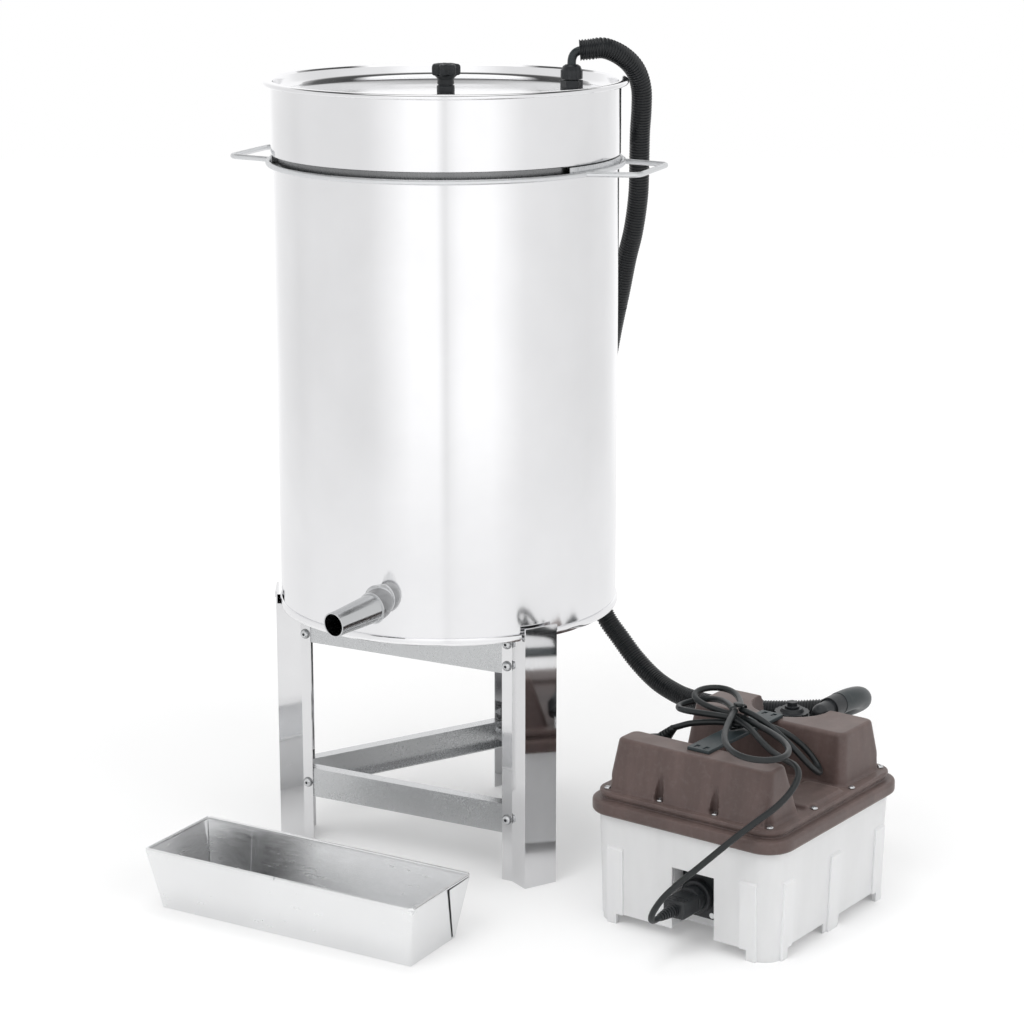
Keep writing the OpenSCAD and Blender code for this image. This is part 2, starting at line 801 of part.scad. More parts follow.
module gland_body() {
    color(black) at_inlet() difference() {
        union() {
            translate([0, 0, gasket_t]) cylinder(d = gland_hex_d, h = gland_hex_h, $fn = 6);
            translate([0, 0, -lid_sheet - thread_tail])
                cylinder(d = gland_thread_d, h = thread_tail + lid_sheet + gland_h / 2);
        }
        translate([0, 0, -lid_sheet - thread_tail - overrun]) cylinder(d = gland_bore, h = 2 * gland_h);
    }
}

module gland_nut() {
    z = gasket_t + gland_hex_h + gland_neck_h;
    h = gland_h - z;
    color(black) at_inlet() difference() {
        union() {
            translate([0, 0, z]) rotate_extrude() {
                square([gland_d / 2 - touch, h * 0.62]);
                translate([0, h * 0.62 - touch]) polygon([[0, 0], [gland_d / 2 - touch, 0],
                    [gland_d * 0.42, h * 0.26], [gland_d * 0.3, h * 0.38], [0, h * 0.38]]);
            }
            for (k = [0 : gland_nut_ribs - 1]) rotate(360 * k / gland_nut_ribs)
                translate([gland_d / 2 - touch, 0, z]) cylinder(d = gland_neck_h, h = h * 0.62, $fn = 16);
        }
        translate([0, 0, z - overrun])
            cylinder(d = gland_thread_d + 2 * touch, h = gland_h / 2 - z + overrun + touch);
        cylinder(d = gland_bore, h = 2 * gland_h);
    }
}

module gland_locknut() {
    color(black) at_inlet() translate([0, 0, -lid_sheet - locknut_h]) difference() {
        cylinder(d = gland_hex_d, h = locknut_h, $fn = 6);
        translate([0, 0, -overrun]) cylinder(d = gland_thread_d + 2 * touch, h = locknut_h + 2 * overrun);
    }
}

// The bare steam tube goes up through the fitting and bends into the conduit
tube_top = conduit_route[0][2] - stand_h - panel_z;
module steam_tube() {
    color(grey_rubber) at_inlet() ribbed_hose(bent([[0, 0, -tube_drop], [0, 0, tube_top],
        [tube_bend_r + tube_lead_in, 0, tube_top]], tube_bend_r, 2 * bend_steps),
        [steam_tube_d / 2], steam_tube_d - 2 * tube_wall, wire_sides, [0, 1, 0]);
}

// Conduit
conduit_step = path_length(along(conduit_route, conduit_d / 2)) / (2 * conduit_ribs);
conduit_points = along(conduit_route, conduit_step);
conduit_root = 1.4;

module steam_conduit() {
    color(black) at_stand() ribbed_hose(conduit_points,
        [conduit_d / 2, conduit_d / 2 - conduit_root], conduit_bore, 8, [0, 1, 0]);
}

elbow_hose_route = [[449, -48, 172], [463, -50, 175], [475, -57, 182], [481, -69, 190],
    [480, -83, 197], [473, -97, 202], [462, -112, 204.5], [449, -128, 205]];
elbow_hose_d = 26;

module outlet_elbow_hose() {
    color(grey_rubber) at_stand()
        ribbed_hose(along(elbow_hose_route, elbow_hose_d / 3), [elbow_hose_d / 2], conduit_bore, 16, [0, 0, 1]);
}

// Generator
module water_tank() {
    color(milky) at_generator() difference() {
        union() {
            difference() {
                union() {
                    frustum(tank_u - tank_taper, tank_v - tank_taper, 0, tank_u, tank_v, tank_top, tank_corner);
                    pilasters();
                }
                frustum(tank_u - tank_taper - tank_wall, tank_v - tank_taper - tank_wall, tank_floor_z + tank_floor_t,
                    tank_u - tank_wall, tank_v - tank_wall, tank_top + overrun, tank_corner - tank_wall);
                translate([0, 0, -overrun]) linear_extrude(tank_floor_z + overrun)
                    round_rect(tank_u - tank_taper - tank_wall, tank_v - tank_taper - tank_wall, tank_corner - tank_wall);
            }
            translate([recess_u - recess_w / 2 - tank_wall, -tank_v + tank_taper + tank_wall, tank_floor_z])
                cube([recess_w + 2 * tank_wall, recess_deep, recess_h + tank_wall - tank_floor_z]);
        }
        translate([recess_u - recess_w / 2, -tank_v - 2 * pilaster_proud, -overrun])
            cube([recess_w, recess_deep + tank_taper + 2 * pilaster_proud, recess_h + overrun]);
        foot_cuts();
    }
}

foot_mid_half = 17;

// The skirt below the tank's floor is cut away between the feet
module foot_cuts() {
    for (s = [-1, 1]) {
        for (r = [[-tank_u + foot_len, -foot_mid_half], [foot_mid_half, tank_u - foot_len]])
            translate([r[0], s > 0 ? 0 : -tank_v - overrun, -overrun])
                cube([r[1] - r[0], tank_v + overrun, foot_h + overrun]);
        for (r = [[-tank_v + foot_len, -foot_mid_half], [foot_mid_half, tank_v - foot_len]])
            translate([s > 0 ? 0 : -tank_u - overrun, r[0], -overrun])
                cube([tank_u + overrun, r[1] - r[0], foot_h + overrun]);
    }
}

// Raised ribs over the feet, sloped so that they follow the wall
module pilasters() {
    lean = tank_taper * pilaster_h / tank_top;
    section = [[-tank_wall, 0], [pilaster_proud, 0], [lean + pilaster_proud, pilaster_h],
        [lean, pilaster_h + pilaster_proud], [-tank_wall, pilaster_h + pilaster_proud]];
    for (s = [-1, 1]) {
        for (c = [-tank_v + foot_len * 0.95, 0, tank_v - foot_len * 0.95])
            translate([s * (tank_u - tank_taper), c, 0]) rotate([90, 0, s > 0 ? 0 : 180])
                linear_extrude(foot_len * 0.6, center = true) polygon(section);
        for (c = [-tank_u + foot_len * 0.95, tank_u - foot_len * 0.95])
            translate([c, s * (tank_v - tank_taper), 0]) rotate([90, 0, s * 90])
                linear_extrude(foot_len * 0.6, center = true) polygon(section);
    }
}

module tank_gasket() {
    color(black) at_generator() translate([0, 0, tank_top]) linear_extrude(gasket_h) difference() {
        round_rect(tank_u, tank_v, tank_corner);
        round_rect(tank_u - 2 * tank_wall, tank_v - 2 * tank_wall, tank_corner - 2 * tank_wall);
    }
}

screw_places = concat(
    [for (s = [-1, 1], k = screw_u_shares) [k * half_u, s * screw_row_v]],
    [for (s = [-1, 1], k = screw_v_shares) [s * screw_row_u, k * half_v]]);

module ridge(base_v, top_v) {
    hull() {
        translate([-ridge_u, base_v[0], rim_top - cover_sheet]) linear_extrude(touch)
            translate([ridge_u, (base_v[1] - base_v[0]) / 2])
                round_rect(ridge_u, (base_v[1] - base_v[0]) / 2, ridge_round, $fn = small_fn);
        translate([0, (top_v[1] + top_v[0]) / 2, ridge_z - ridge_round / 3]) linear_extrude(touch)
            round_rect(ridge_top_u + ridge_round / 6, (top_v[1] - top_v[0]) / 2 + ridge_round / 6,
                ridge_round, $fn = small_fn);
        translate([0, (top_v[1] + top_v[0]) / 2, ridge_z - touch]) linear_extrude(touch)
            round_rect(ridge_top_u - ridge_round / 4, (top_v[1] - top_v[0]) / 2 - ridge_round / 4,
                ridge_round * 0.75, $fn = small_fn);
    }
}

module tank_cover() {
    color(brown) at_generator() difference() {
        union() {
            translate([0, 0, rim_z]) linear_extrude(rim_band_h) round_rect(half_u, half_v, rim_r);
            translate([0, 0, rim_z]) linear_extrude(rim_band_h + rim_groove_h)
                round_rect(half_u - rim_step - rim_groove_in / 2, half_v - rim_step - rim_groove_in / 2,
                    rim_r - rim_step - rim_groove_in / 2);
            translate([0, 0, rim_z + rim_band_h + rim_groove_h])
                linear_extrude(rim_top - rim_z - rim_band_h - rim_groove_h)
                    round_rect(half_u - rim_step, half_v - rim_step, rim_r - rim_step);
            ridge(front_ridge_v, front_top_v);
            ridge(back_ridge_v, back_top_v);
        }
        translate([0, 0, rim_z - overrun]) linear_extrude(rim_band_h - cover_sheet + overrun)
            round_rect(tank_u + pocket_clear, tank_v + pocket_clear, tank_corner + pocket_clear);
        translate([0, 0, rim_z]) linear_extrude(rim_top - rim_z - cover_sheet)
            round_rect(half_u - rim_ledge, half_v - rim_ledge, rim_r / 2);
        translate([cap_u, cap_v, scoop_z]) cylinder(r = scoop_r, h = ridge_z);
        cover_hollows();
        for (p = screw_places) {
            translate([p[0], p[1], rim_top - screw_len]) cylinder(d = screw_d, h = screw_len + touch);
            translate([p[0], p[1], rim_top]) cylinder(r1 = flute_r, r2 = screw_d / 2, h = flute_h);
        }
        translate([cap_u, cap_v, rim_z]) cylinder(d = neck_bore, h = scoop_z);
    }
}

// The moulding is a shell: the ridges are hollow below
module cover_hollows() {
    low = rim_top - cover_sheet - overrun;
    for (r = [front_top_v])
        translate([-ridge_top_u + 2 * ridge_round, r[0] + 4 * cover_sheet, low])
            cube([2 * ridge_top_u - 4 * ridge_round, r[1] - r[0] - 5 * cover_sheet, ridge_z - cover_sheet - low]);
    for (r = [[-ridge_top_u + 2 * ridge_round, cap_u - scoop_r - 2 * cover_sheet],
            [cap_u + scoop_r + 2 * cover_sheet, ridge_top_u - 2 * ridge_round]])
        translate([r[0], back_top_v[0] + cover_sheet, low])
            cube([r[1] - r[0], back_top_v[1] - back_top_v[0] - 5 * cover_sheet, ridge_z - cover_sheet - low]);
}

module cover_screws() {
    color(bright_steel) at_generator() for (p = screw_places) translate([p[0], p[1], rim_top]) {
        translate([0, 0, -screw_len]) cylinder(d = screw_d, h = screw_len + touch);
        intersection() {
            cylinder(d = screw_head_d, h = screw_head_h, $fn = small_fn);
            translate([0, 0, screw_head_h - screw_head_d]) sphere(r = screw_head_d, $fn = 48);
        }
    }
}

module strap_handle() {
    v0 = front_top_v[0] + ridge_round;
    v1 = back_top_v[0] + ridge_round;
    color(black) at_generator() translate([strap_u - strap_w / 2, 0, ridge_z]) difference() {
        translate([0, v0, 0]) cube([strap_w, v1 - v0, strap_t]);
        for (v = [v0 + strap_slot_in, v1 - strap_slot_in], s = [-1, 1])
            translate([strap_w / 2 + s * strap_slot_pitch / 2 - strap_slot_w / 2, v - strap_slot_l / 2, -overrun])
                cube([strap_slot_w, strap_slot_l, strap_t + 2 * overrun]);
    }
}

module strap_screws() {
    v0 = front_top_v[0] + ridge_round + strap_slot_in;
    v1 = back_top_v[0] + ridge_round - strap_slot_in;
    color(black) at_generator() for (v = [v0, v1], s = [-1, 1])
        translate([strap_u + s * strap_slot_pitch / 2, v, ridge_z])
            cylinder(d = strap_slot_w - 2 * touch, h = strap_t - 1, $fn = small_fn);
}

module filler_neck() {
    color(black) at_generator() translate([cap_u, cap_v, scoop_z]) difference() {
        cylinder(d = neck_d, h = cap_h - cap_gap);
        translate([0, 0, -overrun]) cylinder(d = neck_bore, h = cap_h + 2 * overrun);
    }
}

module filler_cap() {
    z = scoop_z + cap_h;
    color(black) at_generator() translate([cap_u, cap_v, z]) difference() {
        union() {
            cylinder(d = cap_d, h = cap_h - cap_dome_h);
            translate([0, 0, cap_h - cap_dome_h - touch]) cylinder(d1 = cap_dome_d + cap_dome_h, d2 = cap_dome_d, h = cap_dome_h);
            translate([0, 0, -cap_h / 2]) cylinder(d = neck_bore - 2 * cap_gap, h = cap_h / 2 + touch);
        }
        for (k = [0 : cap_scallops - 1]) rotate(360 * k / cap_scallops)
            translate([cap_d / 2 + cap_scallop_d / 4, 0, -overrun]) cylinder(d = cap_scallop_d, h = cap_h, $fn = 16);
    }
}

module cap_valve() {
    color(black) at_generator() translate([cap_u, cap_v, scoop_z + 2 * cap_h]) {
        cylinder(d = cap_hex_d * 1.3, h = cap_hex_h / 3);
        cylinder(d = cap_hex_d, h = cap_hex_h, $fn = 6);
    }
}

module outlet_connector() {
    color(black) at_generator() difference() {
        union() {
            translate([outlet_u, outlet_v, scoop_z]) cylinder(d = outlet_d, h = outlet_z - scoop_z);
            translate([outlet_u, outlet_v, outlet_z]) sphere(d = outlet_d);
            translate([outlet_u, outlet_v, outlet_z]) rotate([-90, 0, 0]) cylinder(d = outlet_d, h = outlet_end_v - outlet_v);
            translate([outlet_u, outlet_end_v - outlet_sleeve_len, outlet_z]) rotate([-90, 0, 0])
                cylinder(d = outlet_sleeve_d, h = outlet_sleeve_len);
        }
        translate([outlet_u, outlet_v, scoop_z - overrun]) cylinder(d = outlet_bore, h = outlet_z - scoop_z + overrun);
        translate([outlet_u, outlet_v, outlet_z]) rotate([-90, 0, 0])
            cylinder(d = outlet_bore, h = outlet_end_v - outlet_v + overrun);
    }
}

module heating_element() {
    v = -tank_v + tank_taper + tank_wall + recess_deep;
    color(steel) at_generator() translate([recess_u, v, element_z]) {
        for (s = [-1, 1]) translate([s * element_bend_r, 0, 0]) rotate([-90, 0, 0])
            cylinder(d = element_d, h = element_reach);
        translate([0, element_reach, 0]) rotate_extrude(angle = 180)
            translate([element_bend_r, 0]) circle(d = element_d);
    }
}

// Mains inlet in the tank's recess
inlet_face_v = -tank_v + recess_deep + tank_taper;
socket_u = recess_u - 5;

module at_socket() {
    at_generator() translate([socket_u, inlet_face_v, housing_z]) rotate([90, 0, 0]) children();
}

module inlet_housing() {
    color(black) at_socket() difference() {
        union() {
            translate([-housing_w / 2, -housing_h / 2, 0]) cube([housing_w, housing_h, housing_t]);
            cylinder(d = socket_d, h = housing_t + socket_h);
        }
        for (s = [-1, 1]) translate([s * housing_w * 0.4, -housing_h * 0.4, -touch])
            cylinder(d = screw_d + 2 * touch, h = housing_t + overrun, $fn = small_fn);
    }
}

module inlet_screws() {
    color(bright_steel) at_socket() for (s = [-1, 1]) translate([s * housing_w * 0.4, -housing_h * 0.4, 0]) {
        cylinder(d = screw_d, h = housing_t + touch, $fn = small_fn);
        translate([0, 0, housing_t]) cylinder(d = screw_head_d * 0.8, h = screw_head_h / 2, $fn = small_fn);
    }
}

connector_z = housing_t + socket_h;
relief_z = connector_z + connector_len;

module lead_connector() {
    color(black) at_socket() translate([0, 0, connector_z]) {
        cylinder(d = connector_collar_d, h = connector_len * 0.3);
        translate([-connector_w / 2, -connector_h / 2, 0]) cube([connector_w, connector_h, connector_len]);
    }
}

module connector_relief() {
    color(black) at_socket() translate([0, 0, relief_z])
        cylinder(d1 = relief_root_d, d2 = relief_tip_d, h = relief_len, $fn = small_fn);
}

// Lead
// The hank: strands pass through the tie in three layers, across the bundle and up
tie_point = [1, -20, 228];
bundle_turn = -25;
strand_pitch = lead_d + lead_gap;
strand_places = [[-0.5, 0], [0.5, 0], [-0.5, 1.06], [0.5, 1.06], [0, -1]];
// Each lobe: heading, reach, half width, drop, and the strand places that it joins
lobes = [[163, 84, 22, 9, 0, 2], [-47, 148, -31, 2, 2, 1], [150, 86, 22, -3, 1, 3],
    [24, 90, -26, 57, 3, 4]];
lobe_rings = 24;
function across(a) = [cos(a + 90), sin(a + 90), 0];
function strand(k) = tie_point + strand_pitch * (strand_places[k][0] * across(bundle_turn)
    + [0, 0, strand_places[k][1]]);
function lobe_point(l, t) = mix(strand(l[4]), strand(l[5]), t)
    + l[1] * sin(180 * t) * [cos(l[0]), sin(l[0]), 0]
    + l[2] * sin(360 * t) * across(l[0])
    - [0, 0, l[3] * pow(sin(180 * t), 2)];
lead_start = [socket_u, inlet_face_v - relief_z - relief_len, housing_z];
hank_points = [for (l = lobes, k = [0 : lobe_rings - 1]) lobe_point(l, k / lobe_rings)];
lead_points = concat(
    [for (q = along(concat([lead_start], lead_run_route, [strand(lobes[0][4])]), lead_step)) q],
    [for (i = [1 : len(hank_points) - 1]) hank_points[i]],
    along(concat([strand(lobes[3][5])], lead_tail_route), lead_step));

// The least distance between stretches of a cord that are further apart than skip along it
function least_gap(p, d, skip) = min([for (i = [0 : len(p) - 2], j = [i + skip : 1 : len(p) - 2])
    let (a = p[i], b = (p[i] + p[i + 1]) / 2, e = p[j], f = (p[j] + p[j + 1]) / 2)
    min(norm(a - e), norm(a - f), norm(b - e), norm(b - f))]) - d;
echo(least_gap_of_the_lead = least_gap(lead_points, lead_d, 4));
echo(lead_length = path_length(lead_points), conduit_length = path_length(conduit_points));
echo(least_gap_of_the_conduit = least_gap(along(conduit_route, conduit_d / 2), conduit_d, 8));

module mains_lead() {
    color(black) at_generator() cord(lead_points, lead_d, 6, [0, 0, 1]);
}

module lead_tie() {
    wide = 2 * strand_pitch + lead_gap;
    low = tie_point[2] - strand_pitch - lead_d / 2 - lead_gap / 4;
    high = tie_point[2] + (1 + lead_gap / lead_d) * strand_pitch + lead_d / 2;
    color(black) at_generator() translate([tie_point[0], tie_point[1], 0]) rotate(bundle_turn)
        translate([-tie_w / 2, -wide / 2, low]) difference() {
            translate([0, -tie_t, -tie_t]) cube([tie_w, wide + 2 * tie_t, high - low + 2 * tie_t]);
            translate([-overrun, 0, 0]) cube([tie_w + 2 * overrun, wide, high - low]);
        }
}

// Plug, leaning in the valley with its pins down
plug_place = lead_tail_route[len(lead_tail_route) - 1];
plug_aim = [-0.67, -0.07, -0.74];

module at_plug() {
    d = unit(plug_aim);
    at_generator() translate(plug_place) rotate([0, acos(d[2]), atan2(d[1], d[0])]) children();
}

module plug_boot() {
    color(black) at_plug() cylinder(d1 = relief_tip_d, d2 = plug_neck_d, h = boot_len);
}

module plug_body() {
    color(black) at_plug() translate([0, 0, boot_len]) {
        cylinder(d1 = plug_neck_d, d2 = plug_d, h = plug_len / 2);
        translate([0, 0, plug_len / 2]) cylinder(d = plug_d, h = plug_len / 2);
    }
}

module plug_pins() {
    color(bright_steel) at_plug() for (s = [-1, 1])
        translate([0, s * pin_pitch / 2, boot_len + plug_len]) cylinder(d = pin_d, h = pin_len);
}

// Mould tin
module tin_body() {
    color(bright_steel) at_tin() {
        difference() {
            frustum(tin_base_l / 2, tin_base_w / 2, 0, tin_l / 2 - tin_wire_d / 2, tin_w / 2 - tin_wire_d / 2,
                tin_h - tin_wire_d, plate_thin);
            frustum(tin_base_l / 2 - tin_sheet, tin_base_w / 2 - tin_sheet, tin_sheet,
                tin_l / 2 - tin_wire_d / 2 - tin_sheet, tin_w / 2 - tin_wire_d / 2 - tin_sheet,
                tin_h - tin_wire_d + plate_thin, plate_thin);
        }
    }
}

// The wire runs round the mouth with its corners mitred
module tin_rim() {
    r = tin_wire_d / 2;
    turns = [[1, -1], [1, 1], [-1, 1], [-1, -1]];
    color(bright_steel) at_tin() translate([0, 0, tin_h - r]) polyhedron(
        [for (c = turns, k = [0 : small_fn - 1]) let (a = 360 * k / small_fn)
            [c[0] * (tin_l / 2 - r + r * cos(a)), c[1] * (tin_w / 2 - r + r * cos(a)), r * sin(a)]],
        [for (i = [0 : 3], k = [0 : small_fn - 1])
            let (a = i * small_fn + k, b = i * small_fn + (k + 1) % small_fn,
                c = (i + 1) % 4 * small_fn + k, d = (i + 1) % 4 * small_fn + (k + 1) % small_fn)
            each [[a, b, c], [b, d, c]]]);
}

leg_left();
leg_front();
leg_back();
upper_braces();
lower_braces();
brace_bolts();
brace_washers();
brace_nuts();
drum_shell();
drum_floor();
outlet_stub();
outlet_elbow();
outlet_spout();
basket_rim();
basket_shell();
basket_floor();
handle_right();
handle_left();
handle_plates();
lid_skirt();
lid_panel();
knob_head();
knob_stem();
knob_screw();
gland_body();
gland_nut();
gland_gasket();
gland_locknut();
steam_tube();
steam_conduit();
outlet_elbow_hose();
outlet_connector();
water_tank();
tank_gasket();
tank_cover();
cover_screws();
strap_handle();
strap_screws();
filler_neck();
filler_cap();
cap_valve();
heating_element();
inlet_housing();
inlet_screws();
lead_connector();
connector_relief();
mains_lead();
lead_tie();
plug_boot();
plug_body();
plug_pins();
tin_body();
tin_rim();
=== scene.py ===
"""Steam wax melter: models and finishes the drum, stand, steam generator, hoses and mould tin."""

import math

import bmesh
import bpy
from bpy.props import FloatProperty, FloatVectorProperty, IntProperty, PointerProperty
from bpy.types import Operator, Panel, PropertyGroup
from mathutils import Matrix, Vector
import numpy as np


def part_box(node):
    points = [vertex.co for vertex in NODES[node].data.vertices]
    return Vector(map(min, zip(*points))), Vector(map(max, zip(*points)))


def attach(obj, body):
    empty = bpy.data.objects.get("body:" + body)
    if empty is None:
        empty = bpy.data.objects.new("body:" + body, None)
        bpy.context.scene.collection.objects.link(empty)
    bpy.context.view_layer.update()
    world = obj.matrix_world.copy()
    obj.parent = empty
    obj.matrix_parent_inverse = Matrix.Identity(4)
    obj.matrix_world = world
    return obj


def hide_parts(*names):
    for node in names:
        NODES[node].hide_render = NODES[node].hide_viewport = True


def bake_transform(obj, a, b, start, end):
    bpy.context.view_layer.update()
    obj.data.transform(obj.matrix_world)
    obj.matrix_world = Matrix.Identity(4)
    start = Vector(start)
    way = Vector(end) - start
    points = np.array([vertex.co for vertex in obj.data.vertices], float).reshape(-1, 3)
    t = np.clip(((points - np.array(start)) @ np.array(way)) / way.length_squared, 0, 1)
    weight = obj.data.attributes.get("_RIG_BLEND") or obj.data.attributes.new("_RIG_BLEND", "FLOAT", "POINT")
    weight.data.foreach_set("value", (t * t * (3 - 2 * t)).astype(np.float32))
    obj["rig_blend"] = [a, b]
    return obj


bl_info = {
    "name": "Steam wax melter",
    "version": (1, 0, 0),
    "blender": (4, 5, 0),
    "location": "3D View > Sidebar > Wax melter",
    "description": "Models and finishes a steam wax melter with its generator and mould tin",
    "category": "Object",
}

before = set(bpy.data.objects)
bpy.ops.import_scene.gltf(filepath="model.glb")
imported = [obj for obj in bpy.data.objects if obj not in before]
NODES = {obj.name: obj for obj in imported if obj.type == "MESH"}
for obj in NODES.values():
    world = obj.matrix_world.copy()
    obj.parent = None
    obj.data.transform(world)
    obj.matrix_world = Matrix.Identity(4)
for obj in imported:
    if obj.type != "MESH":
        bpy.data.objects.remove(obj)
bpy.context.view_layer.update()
MM = 0.001


def spot(x, y, z, turn=0.0, axis="Z"):
    """A place in millimetres, turned by degrees about an axis."""
    return Matrix.Translation((x * MM, y * MM, z * MM)) @ Matrix.Rotation(math.radians(turn), 4, axis)


# Where the drum, on its stand, the generator and the tin are
STAND_HEIGHT = 295
FLOOR_LOW, FLOOR_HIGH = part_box("drum_floor")
DRUM = Matrix.Translation(((FLOOR_LOW.x + FLOOR_HIGH.x) / 2, (FLOOR_LOW.y + FLOOR_HIGH.y) / 2,
    STAND_HEIGHT * MM))
GENERATOR = spot(250, -122, 0, -36.5)
TIN = spot(-238, -172, 0, -30)

# The camera's place in metres, its dip below level in radians, and its lens
CAMERA_AT = (-0.0101, -2.943, 1.1724)
CAMERA_DIP = 0.2482
CAMERA_LENS = 94.14

# Millimetres from here on: the lid's gap over the drum, its side, and its panel's depth below the rim
LID_GAP, LID_SIDE, PANEL_DEPTH = 13, 83, 16
GLAND_AT = (143, 36)
OUTLET_ACROSS, OUTLET_HEIGHT, OUTLET_HOLE = -73, 50, 15
# The handles' half width at the ring and outside, their reach past the ring, and the right one's heading
HANDLE_ROOT, HANDLE_GRIP, HANDLE_REACH, HANDLE_TURN = 65, 50.5, 46, -21
CONDUIT_BORE, RIB_DEPTH, HOSE_RADIUS = 17, 1.1, 13
PARTING_HEIGHT = 620
RIDGE_LOW, RIDGE_HIGH = 149, 210
# The tin's half length and half width at its base, how far each leans out, its height, sheet and rim wire
TIN_BASE, TIN_LEAN, TIN_HEIGHT = (164, 44.5), (11.5, 14), 70
TIN_SHEET, TIN_WIRE, TIN_RIM = 0.8, 2.0, (175.4, 58.4, 72)

# The conduit's routes start from the drum's axis and the floor, the lead's from the generator's middle
CONDUIT = [(152, 36, 933), (164, 36, 934), (180, 40, 935), (200, 49, 926), (216, 58, 910), (224, 66, 888),
    (225, 74, 862), (224, 82, 836), (224, 90, 803), (224, 98, 768), (222, 105, 740), (218, 112, 711),
    (212, 121, 682), (205, 131, 640), (196, 141, 590), (187, 149, 530), (180, 153, 470), (175, 154, 410),
    (172, 150, 350), (174, 142, 300), (181, 131, 262), (191, 120, 235), (209, 108, 211), (228, 94, 188),
    (250, 76, 169), (270, 57, 160), (289, 37, 157), (322, 6, 158), (362, -25, 163), (405, -42, 168),
    (432, -47, 171), (449, -48, 172)]
ELBOW_HOSE = [(449, -48, 172), (463, -50, 175), (475, -57, 182), (481, -69, 190), (480, -83, 197),
    (473, -97, 202), (462, -112, 204.5), (449, -128, 205)]
LEAD_RUN = [(10, -186, 50), (11, -202, 52), (16, -209, 64), (26, -205, 82), (38, -192, 98), (52, -176, 114),
    (68, -162, 132), (85, -152, 150), (101, -142, 166), (116, -130, 181), (127, -119, 197),
    (129, -106, 211), (119, -94, 217), (98, -82, 217), (74, -69, 218), (50, -54, 222), (26, -37, 226)]
LEAD_TAIL = [(-18, -24, 220), (-38, -28, 217), (-55, -32, 213), (-65, -35, 209), (-72, -36, 206)]
CONNECTOR_AT = (10, -101, 50)
PLUG_AIM = Vector((-0.67, -0.07, -0.74)).normalized()
TIE = Vector((1, -20, 228))
BUNDLE_TURN = -25
# Where the five strands pass the tie, across and up, in steps of the pitch
STRAND_PITCH = 8.2
STRANDS = [(-0.5, 0), (0.5, 0), (-0.5, 1.06), (0.5, 1.06), (0, -1)]
# Each lobe of the hank: heading, reach, half width, drop, and the strands that it joins
LOBES = [(163, 84, 22, 9, 0, 2), (-47, 148, -31, 2, 2, 1), (150, 86, 22, -3, 1, 3), (24, 90, -26, 57, 3, 4)]
LOBE_STEPS = 48

# The studio wall's brightness by heading in degrees, as the steel reflects it
WALL_BANDS = [(-180, 1.08), (-150, 1.03), (-140, 0.93), (-128, 0.87), (-115, 0.83), (-105, 0.79), (-89, 0.82),
    (-51, 0.81), (-45, 0.83), (-41, 0.87), (-30, 1.0), (-20, 1.12), (-4, 1.12), (-0.9, 0.92), (0.9, 0.84),
    (2.6, 0.96), (8, 1.08), (14, 1.12), (28, 1.12), (38, 1.0), (44, 0.93), (49, 0.88), (60, 0.855),
    (85, 0.825), (101, 0.80), (121, 0.83), (135, 0.91), (146, 1.04), (180, 1.08)]
# The ceiling's brightness by height, and the lean in degrees of the dark cards in the tin that paint shade
# into its walls' reflections
CEILING = [(0.0, 0.98), (0.4, 0.98), (0.52, 0.6), (0.64, 0.12), (0.84, 0.07), (0.9, 1.2), (1.0, 1.2)]
CARD_LEAN = 11.3


class MelterSizes(PropertyGroup):
    """Sizes of the melter that a user may change."""

    drum_radius: FloatProperty(name="Drum radius", description="Outer radius of the drum",
        default=0.197, min=0.15, max=0.23, unit="LENGTH")
    drum_height: FloatProperty(name="Drum height", description="Height of the drum alone",
        default=0.514, min=0.3, max=0.7, unit="LENGTH")
    rim_radius: FloatProperty(name="Lid radius", description="Radius over the lid's rolled rim",
        default=0.207, min=0.16, max=0.24, unit="LENGTH")
    sheet_edge: FloatProperty(name="Sheet edge", description="Rounding of the folded sheet's edges",
        default=0.0005, min=0.0001, max=0.002, unit="LENGTH", precision=5)
    rib_pitch: FloatProperty(name="Rib pitch", description="Distance between two ribs of the conduit",
        default=0.0034, min=0.002, max=0.008, unit="LENGTH", precision=5)
    conduit_diameter: FloatProperty(name="Conduit", description="Diameter over the conduit's ribs",
        default=0.024, min=0.02, max=0.032, unit="LENGTH")
    lead_diameter: FloatProperty(name="Lead", description="Diameter of the mains lead",
        default=0.007, min=0.005, max=0.009, unit="LENGTH")
    wire_diameter: FloatProperty(name="Wire", description="Diameter of the basket's ring and handles",
        default=0.006, min=0.004, max=0.008, unit="LENGTH")
    cover_voxel: FloatProperty(name="Cover grain", description="Size of the steps that round the cover",
        default=0.0015, min=0.001, max=0.004, unit="LENGTH", precision=5)
    turned_sides: IntProperty(name="Turned sides", description="Sides of the large turned pieces",
        default=192, min=64, max=256)


class MelterColours(PropertyGroup):
    """Colours of the melter's finishes."""

    steel: FloatVectorProperty(name="Steel", description="Polished stainless sheet",
        subtype="COLOR", default=(0.90, 0.90, 0.91))
    satin: FloatVectorProperty(name="Satin steel", description="Braces and pipe",
        subtype="COLOR", default=(0.72, 0.73, 0.74))
    tinplate: FloatVectorProperty(name="Tinplate", description="Mould tin",
        subtype="COLOR", default=(0.89, 0.895, 0.90))
    cover: FloatVectorProperty(name="Cover", description="Brown moulded cover",
        subtype="COLOR", default=(0.082, 0.053, 0.0478))
    tank: FloatVectorProperty(name="Tank", description="Milky water tank",
        subtype="COLOR", default=(0.94, 0.945, 0.96))
    black: FloatVectorProperty(name="Black plastic", description="Moulded fittings",
        subtype="COLOR", default=(0.010, 0.012, 0.014))
    rubber: FloatVectorProperty(name="Rubber", description="Hoses and lead",
        subtype="COLOR", default=(0.012, 0.018, 0.020))


